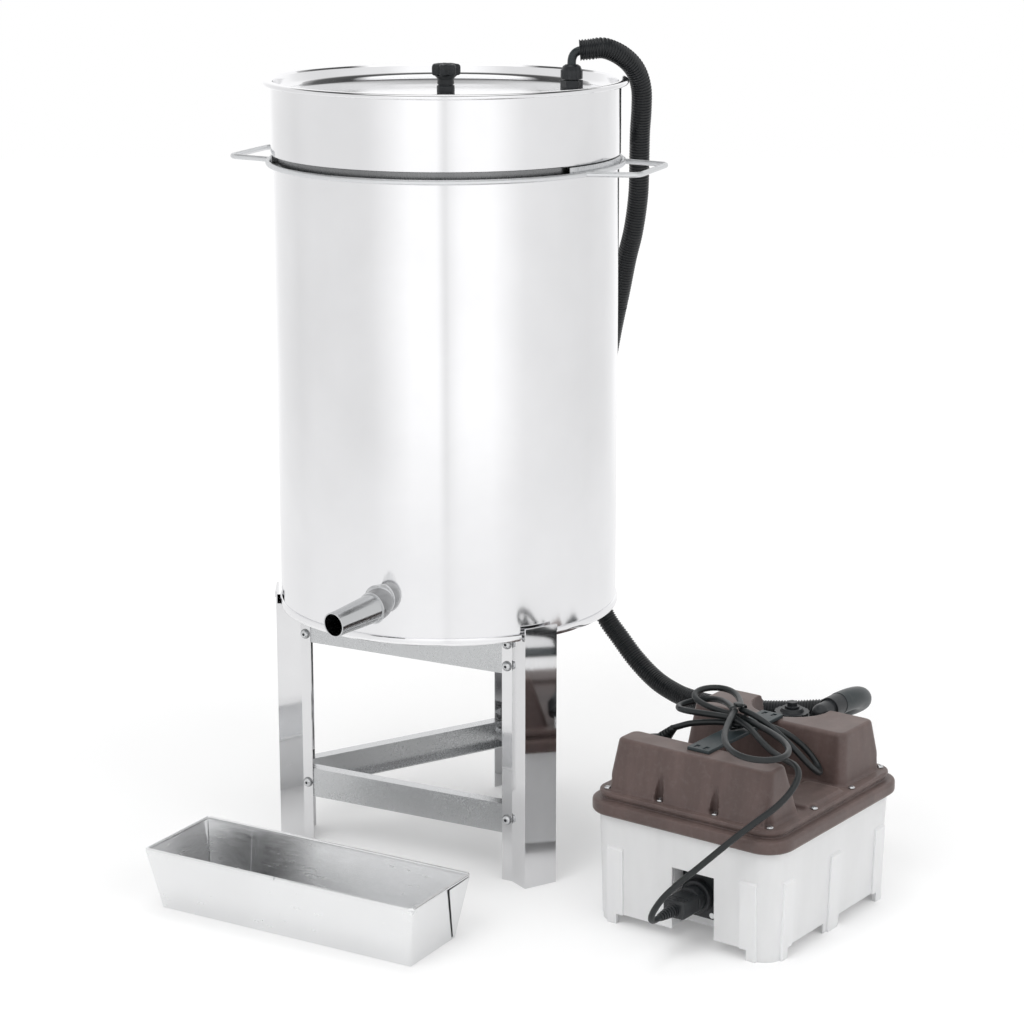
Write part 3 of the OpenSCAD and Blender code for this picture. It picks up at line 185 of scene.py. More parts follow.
class StudioSettings(PropertyGroup):
    """The studio round the melter."""

    floor_size: FloatProperty(name="Floor", description="Width of the floor",
        default=14, min=4, max=40, unit="LENGTH")
    wall_radius: FloatProperty(name="Wall radius", description="Radius of the wall that the steel reflects",
        default=1.05, min=0.8, max=4, unit="LENGTH")
    key_power: FloatProperty(name="Key lamp", description="Power of the key lamp",
        default=16, min=0, max=400, unit="POWER")
    fill_power: FloatProperty(name="Fill lamp", description="Power of the fill lamp",
        default=11, min=0, max=400, unit="POWER")
    top_power: FloatProperty(name="Top lamp", description="Power of the lamp overhead",
        default=12, min=0, max=400, unit="POWER")
    sky: FloatProperty(name="Sky", description="Strength of the even light",
        default=0.76, min=0, max=2)


# Ways of working

def mm(length):
    """A length from the settings in millimetres."""
    return round(length / MM, 3)


def begin():
    """Leaves edit mode and deselects everything."""
    if bpy.context.object and bpy.context.object.mode != "OBJECT":
        bpy.ops.object.mode_set(mode="OBJECT")
    for obj in bpy.context.selected_objects:
        obj.select_set(False)


def hold(*objects):
    """Selects these objects alone; the first is active."""
    begin()
    for obj in objects:
        obj.select_set(True)
    bpy.context.view_layer.objects.active = objects[0]


def edit(obj):
    """Opens one piece in edit mode."""
    hold(obj)
    bpy.ops.object.mode_set(mode="EDIT")
    bpy.ops.mesh.select_mode(type="VERT")


def settle():
    """Keeps the active piece's place and size in its mesh, and returns the piece."""
    bpy.ops.object.transform_apply(location=True, rotation=True, scale=True)
    return bpy.context.object


def pick(obj, test):
    """Selects in edit mode the edges that pass a test."""
    bpy.ops.mesh.select_all(action="DESELECT")
    bpy.ops.mesh.select_mode(type="EDGE")
    mesh = bmesh.from_edit_mesh(obj.data)
    for edge in mesh.edges:
        if test(edge):
            edge.select_set(True)
    mesh.select_flush_mode()
    bmesh.update_edit_mesh(obj.data)


def steepness(edge):
    """How far an edge stands up, from 0, level, to 1."""
    return abs((edge.verts[0].co - edge.verts[1].co).normalized().z)


def tidy(obj):
    """Merges doubles and turns the faces outwards."""
    edit(obj)
    bpy.ops.mesh.select_all(action="SELECT")
    bpy.ops.mesh.remove_doubles(threshold=0.000005)
    bpy.ops.mesh.normals_make_consistent(inside=False)
    bpy.ops.object.mode_set(mode="OBJECT")
    return obj


def linked(name, mesh):
    """A new object with this mesh."""
    obj = bpy.data.objects.new(name, mesh)
    bpy.context.scene.collection.objects.link(obj)
    return obj


def from_faces(name, verts, faces):
    """A new object from points and faces."""
    mesh = bpy.data.meshes.new(name)
    mesh.from_pydata(verts, [], faces)
    return linked(name, mesh)


def apply(obj, kind, **settings):
    """Adds a modifier and applies it."""
    hold(obj)
    modifier = obj.modifiers.new(kind.title(), kind)
    for name, value in settings.items():
        setattr(modifier, name, value)
    bpy.ops.object.modifier_apply(modifier=modifier.name)
    return obj


def bevel(obj, width, segments=2, angle=30):
    """Rounds the edges that are sharper than an angle."""
    return apply(obj, "BEVEL", width=width * MM, segments=segments, limit_method="ANGLE",
        angle_limit=math.radians(angle), use_clamp_overlap=True)


def flattened(obj):
    """Keeps the shading of large flat faces flat beside their rounded edges."""
    return apply(obj, "WEIGHTED_NORMAL", mode="FACE_AREA", weight=50, keep_sharp=True)


def cut(obj, *tools, operation="DIFFERENCE"):
    """Cuts or joins solids, then removes the tools."""
    for tool in tools:
        apply(obj, "BOOLEAN", operation=operation, object=tool, solver="EXACT")
        bpy.data.objects.remove(tool)
    return obj


def join(name, *objects):
    """Joins several objects into one."""
    hold(*objects)
    bpy.ops.object.join()
    objects[0].name = name
    return objects[0]


def place(obj, matrix):
    """Puts a piece in its place and keeps the place in its mesh."""
    obj.matrix_world = matrix @ obj.matrix_world
    hold(obj)
    return settle()


def finish(obj, name, look, body, nodes, angle=35):
    """Names a piece, smooths it, gives it its finish and lets it ride on its body."""
    obj.name = name
    hold(obj)
    bpy.ops.object.shade_smooth_by_angle(angle=math.radians(angle))
    wear(obj, look)
    if "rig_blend" not in obj:
        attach(obj, body)
    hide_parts(*nodes)
    return obj


def wear(obj, look):
    """Gives a piece a finish in place of what it has."""
    obj.data.materials.clear()
    obj.data.materials.append(finishes()[look])


def turned(section, sides, close=True):
    """Turns a section of (radius, height) points: each ring is extruded from the last and resized."""
    begin()
    radius, height = section[0]
    bpy.ops.mesh.primitive_circle_add(vertices=sides, radius=radius * MM, location=(0, 0, height * MM))
    obj = settle()
    bpy.ops.object.mode_set(mode="EDIT")
    for (r0, z0), (r1, z1) in zip(section, section[1:] + ([section[0]] if close else [])):
        bpy.ops.mesh.extrude_region_move(TRANSFORM_OT_translate={"value": (0, 0, (z1 - z0) * MM)})
        if abs(r1 - r0) > 1e-6:
            bpy.ops.transform.resize(value=(r1 / r0, r1 / r0, 1), center_override=(0, 0, 0))
    if not close:
        bpy.ops.mesh.select_all(action="SELECT")
        bpy.ops.mesh.fill_holes(sides=0)
    return tidy(obj)


def block(size, centre, corner=0, corner_segments=6):
    """A block in millimetres with its upright edges rounded."""
    begin()
    bpy.ops.mesh.primitive_cube_add(size=1, location=[c * MM for c in centre], scale=[s * MM for s in size])
    obj = settle()
    if corner:
        bpy.ops.object.mode_set(mode="EDIT")
        pick(obj, lambda e: steepness(e) > 0.9)
        bpy.ops.mesh.bevel(offset=corner * MM, segments=corner_segments)
        bpy.ops.object.mode_set(mode="OBJECT")
    return obj


def rod(radius, depth, centre, sides=48, tip=None):
    """A round tool or pin along Z; with a tip radius it tapers."""
    begin()
    bpy.ops.mesh.primitive_cone_add(vertices=sides, radius1=radius * MM,
        radius2=(radius if tip is None else tip) * MM, depth=depth * MM, location=[c * MM for c in centre])
    return settle()


def softened(node, width, segments, without=None):
    """A copy of a node, less a tool, with its triangles merged into faces and its edges rounded."""
    obj = linked(node + "_soft", NODES[node].data.copy())
    edit(obj)
    bpy.ops.mesh.select_all(action="SELECT")
    bpy.ops.mesh.remove_doubles(threshold=0.00002)
    if without:
        cut(obj, without)
        edit(obj)
        bpy.ops.mesh.select_all(action="SELECT")
    bpy.ops.mesh.dissolve_limited(angle_limit=math.radians(0.6))
    bpy.ops.object.mode_set(mode="OBJECT")
    return bevel(obj, width, segments) if width else obj


def run_length(points):
    """The length of a line through points."""
    return sum((b - a).length for a, b in zip(points, points[1:]))


def curve_point(points, i, t):
    """A point on a smooth curve through a route, as the source has it."""
    b, c = points[i], points[i + 1]
    a = points[i - 1] if i else 2 * b - c
    d = points[i + 2] if i + 2 < len(points) else 2 * c - b
    return 0.5 * (2 * b + (c - a) * t + (2 * a - 5 * b + 4 * c - d) * t * t
        + (3 * b - a - 3 * c + d) * t ** 3)


def smooth_route(route, step):
    """Points along a smooth curve through the route, about one step apart, in millimetres."""
    points = [Vector(p) for p in route]
    made = []
    for i in range(len(points) - 1):
        count = max(1, round((points[i + 1] - points[i]).length / step))
        made += [curve_point(points, i, k / count) for k in range(count)]
    return made + [points[-1]]


def even(points, step):
    """The same line with its points an even step apart."""
    total = run_length(points)
    count = max(2, round(total / step))
    made, i, walked = [points[0]], 0, 0.0
    for k in range(1, count):
        target = total * k / count
        while walked + (points[i + 1] - points[i]).length < target:
            walked += (points[i + 1] - points[i]).length
            i += 1
        made.append(points[i].lerp(points[i + 1], (target - walked) / (points[i + 1] - points[i]).length))
    return made + [points[-1]]


def bent(route, corner, steps):
    """A wire's route with each corner turned in a few steps."""
    points = [Vector(p) for p in route]
    made = [points[0]]
    for before, here, after in zip(points, points[1:], points[2:]):
        a = here + corner * (before - here).normalized()
        b = here + corner * (after - here).normalized()
        made += [a.lerp(here, k / steps).lerp(here.lerp(b, k / steps), k / steps) for k in range(steps + 1)]
    return made + [points[-1]]


def tube(name, points, radii, sides=16, bore=0):
    """A round tube along points, its skin stepping through the radii; a bore makes it hollow."""
    headings = [(points[min(i + 1, len(points) - 1)] - points[max(i - 1, 0)]).normalized()
        for i in range(len(points))]
    side = headings[0].orthogonal().normalized()
    sideways, verts, faces, rings = [], [], [], []
    for heading in headings:
        side = (side - side.dot(heading) * heading).normalized()
        sideways.append(side)

    def ring(i, radius):
        rings.append(len(verts))
        upwards = headings[i].cross(sideways[i])
        for k in range(sides):
            a = 2 * math.pi * k / sides
            verts.append((points[i] + radius * (math.cos(a) * sideways[i] + math.sin(a) * upwards)) * MM)

    for i in range(len(points)):
        ring(i, radii[i % len(radii)])
    if bore:
        for i in reversed(range(0, len(points), 2)):
            ring(i, bore / 2)
    for j in range(len(rings) if bore else len(rings) - 1):
        a, b = rings[j], rings[(j + 1) % len(rings)]
        for k in range(sides):
            n = (k + 1) % sides
            faces.append((a + k, a + n, b + n, b + k))
    if not bore:
        faces.append(tuple(rings[0] + k for k in reversed(range(sides))))
        faces.append(tuple(rings[-1] + k for k in range(sides)))
    return tidy(from_faces(name, verts, faces))


# Finishes

def add(tree, kind, links=None, **settings):
    """Adds a shader node, sets it and links or fills its sockets."""
    made = tree.nodes.new(kind)
    for name, value in settings.items():
        setattr(made, name, value)
    for name, value in (links or {}).items():
        if isinstance(value, bpy.types.NodeSocket):
            tree.links.new(value, made.inputs[name])
        else:
            made.inputs[name].default_value = value
    return made


def blank(name):
    """An empty material and its object coordinates."""
    material = bpy.data.materials.new(name)
    material.use_nodes = True
    tree = material.node_tree
    tree.nodes.clear()
    return material, tree, tree.nodes.new("ShaderNodeTexCoord").outputs["Object"]


def new_finish(name):
    """The shader of a new material, its tree and object coordinates."""
    _, tree, coords = blank(name)
    shader = tree.nodes.new("ShaderNodeBsdfPrincipled")
    add(tree, "ShaderNodeOutputMaterial", {"Surface": shader.outputs["BSDF"]})
    return tree, shader, coords


def maths(tree, operation, *values):
    """A calculation with sockets and numbers."""
    return add(tree, "ShaderNodeMath", dict(enumerate(values)), operation=operation).outputs[0]


def noise(tree, coords, scale, detail=4, stretch=(1, 1, 1), roughness=0.55, turn=(0, 0, 0)):
    """Noise in steps per metre; a stretch below 1 draws it out along that axis."""
    if stretch != (1, 1, 1) or turn != (0, 0, 0):
        mapping = add(tree, "ShaderNodeMapping", {"Vector": coords, "Scale": stretch, "Rotation": turn})
        coords = mapping.outputs["Vector"]
    return add(tree, "ShaderNodeTexNoise", {"Vector": coords, "Scale": scale, "Detail": detail,
        "Roughness": roughness}).outputs["Fac"]


def spread(tree, value, low, high, start=0.3, end=0.7):
    """A value drawn from the range of start and end to that of low and high."""
    return add(tree, "ShaderNodeMapRange", {"Value": value, "From Min": start, "From Max": end,
        "To Min": low, "To Max": high}).outputs["Result"]


def between(tree, factor, first, second):
    """A colour between two, by a factor."""
    made = add(tree, "ShaderNodeMix", {"Factor": factor}, data_type="RGBA")
    for socket, value in ((made.inputs[6], first), (made.inputs[7], second)):
        if isinstance(value, bpy.types.NodeSocket):
            tree.links.new(value, socket)
        else:
            socket.default_value = (*value, 1)
    return made.outputs[2]


def graded(tree, factor, stops, tint=1.0):
    """A grey that runs through stops of position and brightness; the tint is for its blue."""
    ramp = add(tree, "ShaderNodeValToRGB", {"Fac": factor})
    elements = ramp.color_ramp.elements
    while len(elements) < len(stops):
        elements.new(0.5)
    for element, (position, value) in zip(elements, stops):
        element.position = position
        element.color = (value, value, value * tint, 1)
    return ramp.outputs["Color"]


def shade(colour, factor):
    """A colour made darker or lighter."""
    return tuple(min(1.0, c * factor) for c in colour)


def bump(tree, height, depth, strength, normal=None):
    """Relief of a depth in millimetres, on top of other relief where there is some."""
    links = {"Height": height, "Distance": depth * MM, "Strength": strength}
    if normal:
        links["Normal"] = normal
    return add(tree, "ShaderNodeBump", links).outputs["Normal"]


def sheet_metal(name, colour, roughness, grain, depth=0.01, cloud=0.06, wave=0.0, scale=900, speck=0,
        scuff=0.03):
    """Rolled sheet: fine drawn-out grain, cloudy gloss and faint handling marks."""
    tree, shader, coords = new_finish(name)
    fine = noise(tree, coords, scale, 5, grain)
    clouds = noise(tree, coords, 9, 5)
    marks = noise(tree, coords, 260, 3, (1, 1, 0.3), 0.7, (0.4, 0.7, 0.2))
    gloss = spread(tree, fine, roughness * 0.75, roughness * 1.3)
    worn = maths(tree, "ADD", gloss, spread(tree, clouds, 0, cloud))
    scuffed = maths(tree, "ADD", worn, spread(tree, marks, 0, scuff, 0.66, 0.8))
    tree.links.new(scuffed, shader.inputs["Roughness"])
    tone = between(tree, spread(tree, clouds, 0, 1), shade(colour, 0.965), shade(colour, 1.02))
    if speck:
        grit = noise(tree, coords, 340, 2, (1, 1, 1), 0.8)
        tone = between(tree, spread(tree, grit, 0, speck, 0.6, 0.75), tone, shade(colour, 0.45))
    tree.links.new(tone, shader.inputs["Base Color"])
    shader.inputs["Metallic"].default_value = 1
    normal = bump(tree, fine, depth, 0.5)
    if wave:
        normal = bump(tree, noise(tree, coords, 5.5, 2, (1, 1, 0.7)), wave, 1, normal)
    tree.links.new(normal, shader.inputs["Normal"])


def moulded(name, colour, roughness, grain=1500, depth=0.06, dust=0.0, variation=0.12, worn=0.5, sheen=0.0,
        crease_shade=0.0, streak=0.0):
    """Moulded plastic or rubber: fine grain, uneven gloss, dust, lighter worn edges and darker creases as
    painted shade.
    """
    tree, shader, coords = new_finish(name)
    fine = noise(tree, coords, grain, 3)
    clouds = noise(tree, coords, 22, 5)
    tone = between(tree, spread(tree, clouds, 0, 1), shade(colour, 1 - variation),
        shade(colour, 1 + variation))
    if worn:
        edge = add(tree, "ShaderNodeNewGeometry").outputs["Pointiness"]
        tone = between(tree, spread(tree, edge, 0, worn, 0.52, 0.62), tone, [c * 1.5 + 0.012 for c in colour])
        # Painted shade: concave creases are darkened towards a third of the colour
        if crease_shade:
            tone = between(tree, spread(tree, edge, crease_shade, 0, 0.40, 0.49), tone, shade(colour, 0.3))
    if streak:
        drawn = noise(tree, coords, 46, 4, (1, 1, 0.09), 0.6)
        tone = between(tree, spread(tree, drawn, 0, streak, 0.42, 0.72), tone, shade(colour, 1.7))
    if dust:
        settled = spread(tree, noise(tree, coords, 130, 6, (1, 1, 1), 0.75), 0, dust, 0.5, 0.8)
        tone = between(tree, settled, tone, (0.32, 0.28, 0.26))
    tree.links.new(tone, shader.inputs["Base Color"])
    tree.links.new(spread(tree, clouds, roughness * 0.85, roughness * 1.18), shader.inputs["Roughness"])
    if sheen:
        shader.inputs["Sheen Weight"].default_value = sheen
        shader.inputs["Sheen Roughness"].default_value = 0.45
        shader.inputs["Sheen Tint"].default_value = (0.95, 0.88, 0.82, 1)
    tree.links.new(bump(tree, fine, depth, 0.6), shader.inputs["Normal"])


def milky_plastic(name, colour):
    """Blown polyethylene: light soaks in, with faint flow marks and softer gloss."""
    tree, shader, coords = new_finish(name)
    flow = noise(tree, coords, 26, 4, (1, 1, 0.25))
    fine = noise(tree, coords, 700, 3)
    tone = between(tree, spread(tree, flow, 0, 1), shade(colour, 0.95), shade(colour, 1.03))
    tree.links.new(tone, shader.inputs["Base Color"])
    tree.links.new(spread(tree, flow, 0.34, 0.5), shader.inputs["Roughness"])
    for socket, value in (("Subsurface Weight", 0.35), ("Subsurface Radius", (0.012, 0.012, 0.013)),
            ("Subsurface Scale", 1.0), ("Transmission Weight", 0.08), ("IOR", 1.4)):
        shader.inputs[socket].default_value = value
    normal = bump(tree, fine, 0.04, 0.5)
    tree.links.new(bump(tree, flow, 0.6, 0.6, normal), shader.inputs["Normal"])


def finishes():
    """The finishes by name, made once from the colours."""
    colours = bpy.context.scene.melter_colours
    steel, satin, tin, cover, tank, black, rubber = (tuple(getattr(colours, name)) for name in
        ("steel", "satin", "tinplate", "cover", "tank", "black", "rubber"))
    if "Polished sheet" not in bpy.data.materials:
        sheet_metal("Polished sheet", steel, 0.075, (1, 1, 0.02), depth=0.004, cloud=0.03, wave=0.3)
        sheet_metal("Lid sheet", steel, 0.07, (1, 1, 0.02), depth=0.004, cloud=0.03, wave=0.2)
        sheet_metal("Leg sheet", shade(steel, 0.84), 0.05, (1, 1, 0.04), depth=0.004, cloud=0.03, wave=0.4)
        sheet_metal("Brace sheet", shade(satin, 0.8), 0.19, (1, 1, 1), depth=0.02, cloud=0.12, wave=0.3,
            scale=420, speck=0.4)
        sheet_metal("Pipe steel", shade(satin, 0.86), 0.13, (1, 0.15, 1), cloud=0.08, wave=0.4)
        sheet_metal("Elbow steel", shade(satin, 0.4), 0.15, (1, 1, 0.12), depth=0.04, cloud=0.1, wave=1.6,
            scale=420)
        sheet_metal("Wire steel", shade(satin, 1.05), 0.36, (0.3, 0.3, 1), depth=0.02, cloud=0.12, scale=1400)
        sheet_metal("Basket sheet", satin, 0.24, (1, 1, 0.05), cloud=0.1)
        # The rim's steel is darkened to a third so that the gap under the lid reads dark: painted shade
        sheet_metal("Rim steel with painted shade", shade(satin, 0.34), 0.24, (1, 1, 0.05), cloud=0.1)
        sheet_metal("Bolt steel", shade(satin, 0.9), 0.16, (1, 1, 1), depth=0.006, cloud=0.12, scale=1200)
        sheet_metal("Tinplate", tin, 0.2, (0.15, 0.15, 1), depth=0.002, cloud=0.05, wave=0.5, scale=260,
            scuff=0)
        moulded("Knob plastic", black, 0.42)
        moulded("Gland plastic", black, 0.38, grain=1800, depth=0.04)
        moulded("Conduit plastic", shade(black, 0.8), 0.34, grain=900, depth=0.03, dust=0.03, worn=0)
        moulded("Hose rubber", shade(rubber, 1.2), 0.36, grain=1300, depth=0.04, dust=0.1, worn=0)
        moulded("Lead rubber", shade(rubber, 0.42), 0.4, depth=0.04, dust=0.02, worn=0)
        moulded("Fitting plastic", black, 0.4, depth=0.05, dust=0.05)
        moulded("Strap plastic", shade(rubber, 1.7), 0.42, grain=1200, depth=0.05, dust=0.06)
        moulded("Cover plastic", cover, 0.46, grain=1100, depth=0.08, dust=0.12, variation=0.07, worn=0.6,
            sheen=0.22, crease_shade=0.8, streak=0.5)
        milky_plastic("Milky tank", tank)
    return bpy.data.materials


# Operators

class MELTER_OT_studio(Operator):
    """Makes the camera, floor, wall, lamps and world"""

    bl_idname = "melter.studio"
    bl_label = "Studio"

    def execute(self, context):
        settings = context.scene.melter_studio
        begin()
        bpy.ops.object.camera_add(location=CAMERA_AT, rotation=(math.pi / 2 - CAMERA_DIP, 0, 0))
        camera = context.object
        camera.name = "Photographer"
        camera.data.lens = CAMERA_LENS
        camera.data.sensor_width = 36
        camera.data.clip_end = 60
        context.scene.camera = camera
        context.scene.view_settings.view_transform = "Standard"
        self.floor(settings.floor_size)
        self.wall(settings.wall_radius)
        # Two dark cards, seen only in reflections, paint shade into the reflections of the tin's inner walls
        self.card("Front shade card", (0, -51.7, 43), (334, 80), 0,
            [(0, 0.7), (0.13, 0.66), (0.24, 0.08), (1, 0.05)])
        self.card("Rear shade card", (-124, 49.4, 36), (92, 66), 180,
            [(0, 0.05), (0.3, 0.2), (0.6, 0.5), (1, 0.5)])
        self.world(context.scene, settings.sky)
        for name, stand, aim, size, power in (
            ("Key lamp", (-1.1, -1.7, 2.3), (0, 0, 0.4), 1.4, settings.key_power),
            ("Fill lamp", (1.7, -1.5, 1.5), (0, 0, 0.2), 1.6, settings.fill_power),
            ("Top lamp", (-0.1, 0.1, 2.7), (-0.05, 0.0, 0), 1.2, settings.top_power),
        ):
            bpy.ops.object.light_add(type="AREA", location=stand)
            lamp = context.object
            lamp.name = name
            lamp.data.size = size
            lamp.data.energy = power
            lamp.rotation_euler = (Vector(aim) - Vector(stand)).to_track_quat("-Z", "Y").to_euler()
            lamp.visible_glossy = False
        return {"FINISHED"}

    def stage(self, name, material, unseen=True):
        """Names the new mesh, gives it its material and, where unseen, leaves it to reflections alone."""
        obj = bpy.context.object
        obj.name = name
        obj.data.materials.append(material)
        if unseen:
            obj.visible_camera = obj.visible_diffuse = obj.visible_shadow = obj.visible_transmission = False

    def floor(self, size):
        """Pale paper with a painted glow for the camera's rays that brightens it to white away from the
        melter, and a faint painted glow in reflections.
        """
        material, tree, coords = blank("Floor paper")
        paper = spread(tree, noise(tree, coords, 3, 4), 0, 1)
        tone = between(tree, paper, (0.80, 0.80, 0.80), (0.82, 0.82, 0.82))
        diffuse = add(tree, "ShaderNodeBsdfDiffuse", {"Color": tone})
        rays = tree.nodes.new("ShaderNodeLightPath").outputs
        away = add(tree, "ShaderNodeVectorMath", {0: coords}, operation="LENGTH").outputs["Value"]
        direct = maths(tree, "MULTIPLY", rays["Is Camera Ray"], spread(tree, away, 0.20, 0.42, 0.7, 1.9))
        mirrored = maths(tree, "MAXIMUM", rays["Is Glossy Ray"], rays["Is Transmission Ray"])
        strength = maths(tree, "MULTIPLY_ADD", mirrored, 0.09, direct)
        glow = add(tree, "ShaderNodeEmission", {"Strength": strength})
        both = add(tree, "ShaderNodeAddShader", {0: diffuse.outputs[0], 1: glow.outputs[0]})
        add(tree, "ShaderNodeOutputMaterial", {"Surface": both.outputs[0]})
        begin()
        bpy.ops.mesh.primitive_plane_add(size=size)
        self.stage("Floor", material, unseen=False)

    def wall(self, radius):
        """A round wall with soft bright and grey bands."""
        material, tree, coords = blank("Wall cloth")
        split = add(tree, "ShaderNodeSeparateXYZ", {"Vector": coords}).outputs
        azimuth = maths(tree, "ARCTAN2", split["X"], maths(tree, "MULTIPLY", split["Y"], -1.0))
        turn = spread(tree, azimuth, 0, 1, -math.pi, math.pi)
        bands = graded(tree, turn, [((angle + 180) / 360, value) for angle, value in WALL_BANDS], 1.004)
        low = spread(tree, split["Z"], 0.75, 0, -0.62, -0.40)
        glow = add(tree, "ShaderNodeEmission", {"Color": between(tree, low, bands, (0.905, 0.905, 0.91))})
        add(tree, "ShaderNodeOutputMaterial", {"Surface": glow.outputs[0]})
        begin()
        bpy.ops.mesh.primitive_cylinder_add(vertices=128, radius=radius, depth=1.55, end_fill_type="NOTHING",
            location=(DRUM.translation.x, DRUM.translation.y, 0.775))
        self.stage("Studio wall", material)

    def card(self, name, centre, size, turn, stops):
        """A dark card of painted shade, seen only in the tin's reflections, leaning as its walls do; stops
        are its darkness along X.
        """
        material, tree, coords = blank(name)
        split = add(tree, "ShaderNodeSeparateXYZ", {"Vector": coords}).outputs
        across = spread(tree, split["X"], 0, 1, -0.5, 0.5)
        back = tree.nodes.new("ShaderNodeNewGeometry").outputs["Backfacing"]
        dark = maths(tree, "MULTIPLY", graded(tree, across, stops), maths(tree, "SUBTRACT", 1.0, back))
        clear = tree.nodes.new("ShaderNodeBsdfTransparent")
        black = add(tree, "ShaderNodeEmission", {"Strength": 0})
        both = add(tree, "ShaderNodeMixShader", {0: dark, 1: clear.outputs[0], 2: black.outputs[0]})
        add(tree, "ShaderNodeOutputMaterial", {"Surface": both.outputs[0]})
        begin()
        bpy.ops.mesh.primitive_plane_add(size=1)
        bpy.context.object.matrix_world = (TIN @ spot(*centre, turn) @ spot(0, 0, 0, CARD_LEAN - 90, "X")
            @ Matrix.Diagonal((size[0] * MM, size[1] * MM, 1, 1)))
        self.stage(name, material)

    def world(self, scene, sky):
        """White for the camera's rays, even light for the object, a graded ceiling for reflections."""
        world = bpy.data.worlds.new("Studio world")
        scene.world = world
        world.use_nodes = True
        tree = world.node_tree
        tree.nodes.clear()
        coords = tree.nodes.new("ShaderNodeTexCoord").outputs["Generated"]
        height = add(tree, "ShaderNodeSeparateXYZ", {"Vector": coords}).outputs["Z"]
        ceiling = add(tree, "ShaderNodeBackground", {"Color": graded(tree, height, CEILING)})
        white = add(tree, "ShaderNodeBackground", {"Color": (1, 1, 1, 1), "Strength": 1})
        seen = add(tree, "ShaderNodeBackground", {"Color": (1, 1, 1, 1), "Strength": sky})
        rays = tree.nodes.new("ShaderNodeLightPath").outputs
        for ray, surface in (("Is Glossy Ray", ceiling), ("Is Transmission Ray", white),
                ("Is Camera Ray", white)):
            seen = add(tree, "ShaderNodeMixShader", {0: rays[ray], 1: seen.outputs[0], 2: surface.outputs[0]})
        add(tree, "ShaderNodeOutputWorld", {"Surface": seen.outputs[0]})


class MELTER_OT_conduit(Operator):
    """Makes the ribbed conduit in two lengths and its elbow hose"""

    bl_idname = "melter.conduit"
    bl_label = "Conduit"

    def execute(self, context):
        sizes = context.scene.melter_sizes
        diameter = mm(sizes.conduit_diameter)
        radii = [diameter / 2, diameter / 2, diameter / 2 - RIB_DEPTH, diameter / 2 - RIB_DEPTH]
        shift = Vector((DRUM.translation.x, DRUM.translation.y, 0)) / MM
        route = smooth_route(CONDUIT, 3)
        parting = min(range(len(route)), key=lambda i: abs(route[i].z - PARTING_HEIGHT))
        made = []
        for name, part in (("Conduit_upper", route[:parting + 1]), ("Conduit_lower", route[parting:])):
            line = [p + shift for p in even(part, mm(sizes.rib_pitch) / 4)]
            made += [tube(name, line, radii, 24, CONDUIT_BORE), [p * MM for p in even(line, 8)]]
        upper, upper_path, lower, lower_path = made
        elbow_line = [p + shift for p in smooth_route(ELBOW_HOSE, 2)]
        elbow = tube("Elbow_hose", elbow_line, [HOSE_RADIUS], 32, CONDUIT_BORE)
        end = upper_path[-1]
        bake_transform(upper, "basket", "lid", end + Vector((0, 0, 0.03)), Vector((end.x, end.y, 0.92)))
        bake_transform(lower, "stand", "basket", Vector((end.x, end.y, 0.2)), end - Vector((0, 0, 0.02)))
        finish(upper, "Conduit_upper", "Conduit plastic", "lid", ["steam_conduit"])
        finish(lower, "Conduit_lower", "Conduit plastic", "stand", ["steam_conduit"])
        finish(elbow, "Elbow_hose", "Hose rubber", "stand", ["outlet_elbow_hose"], 60)
        return {"FINISHED"}


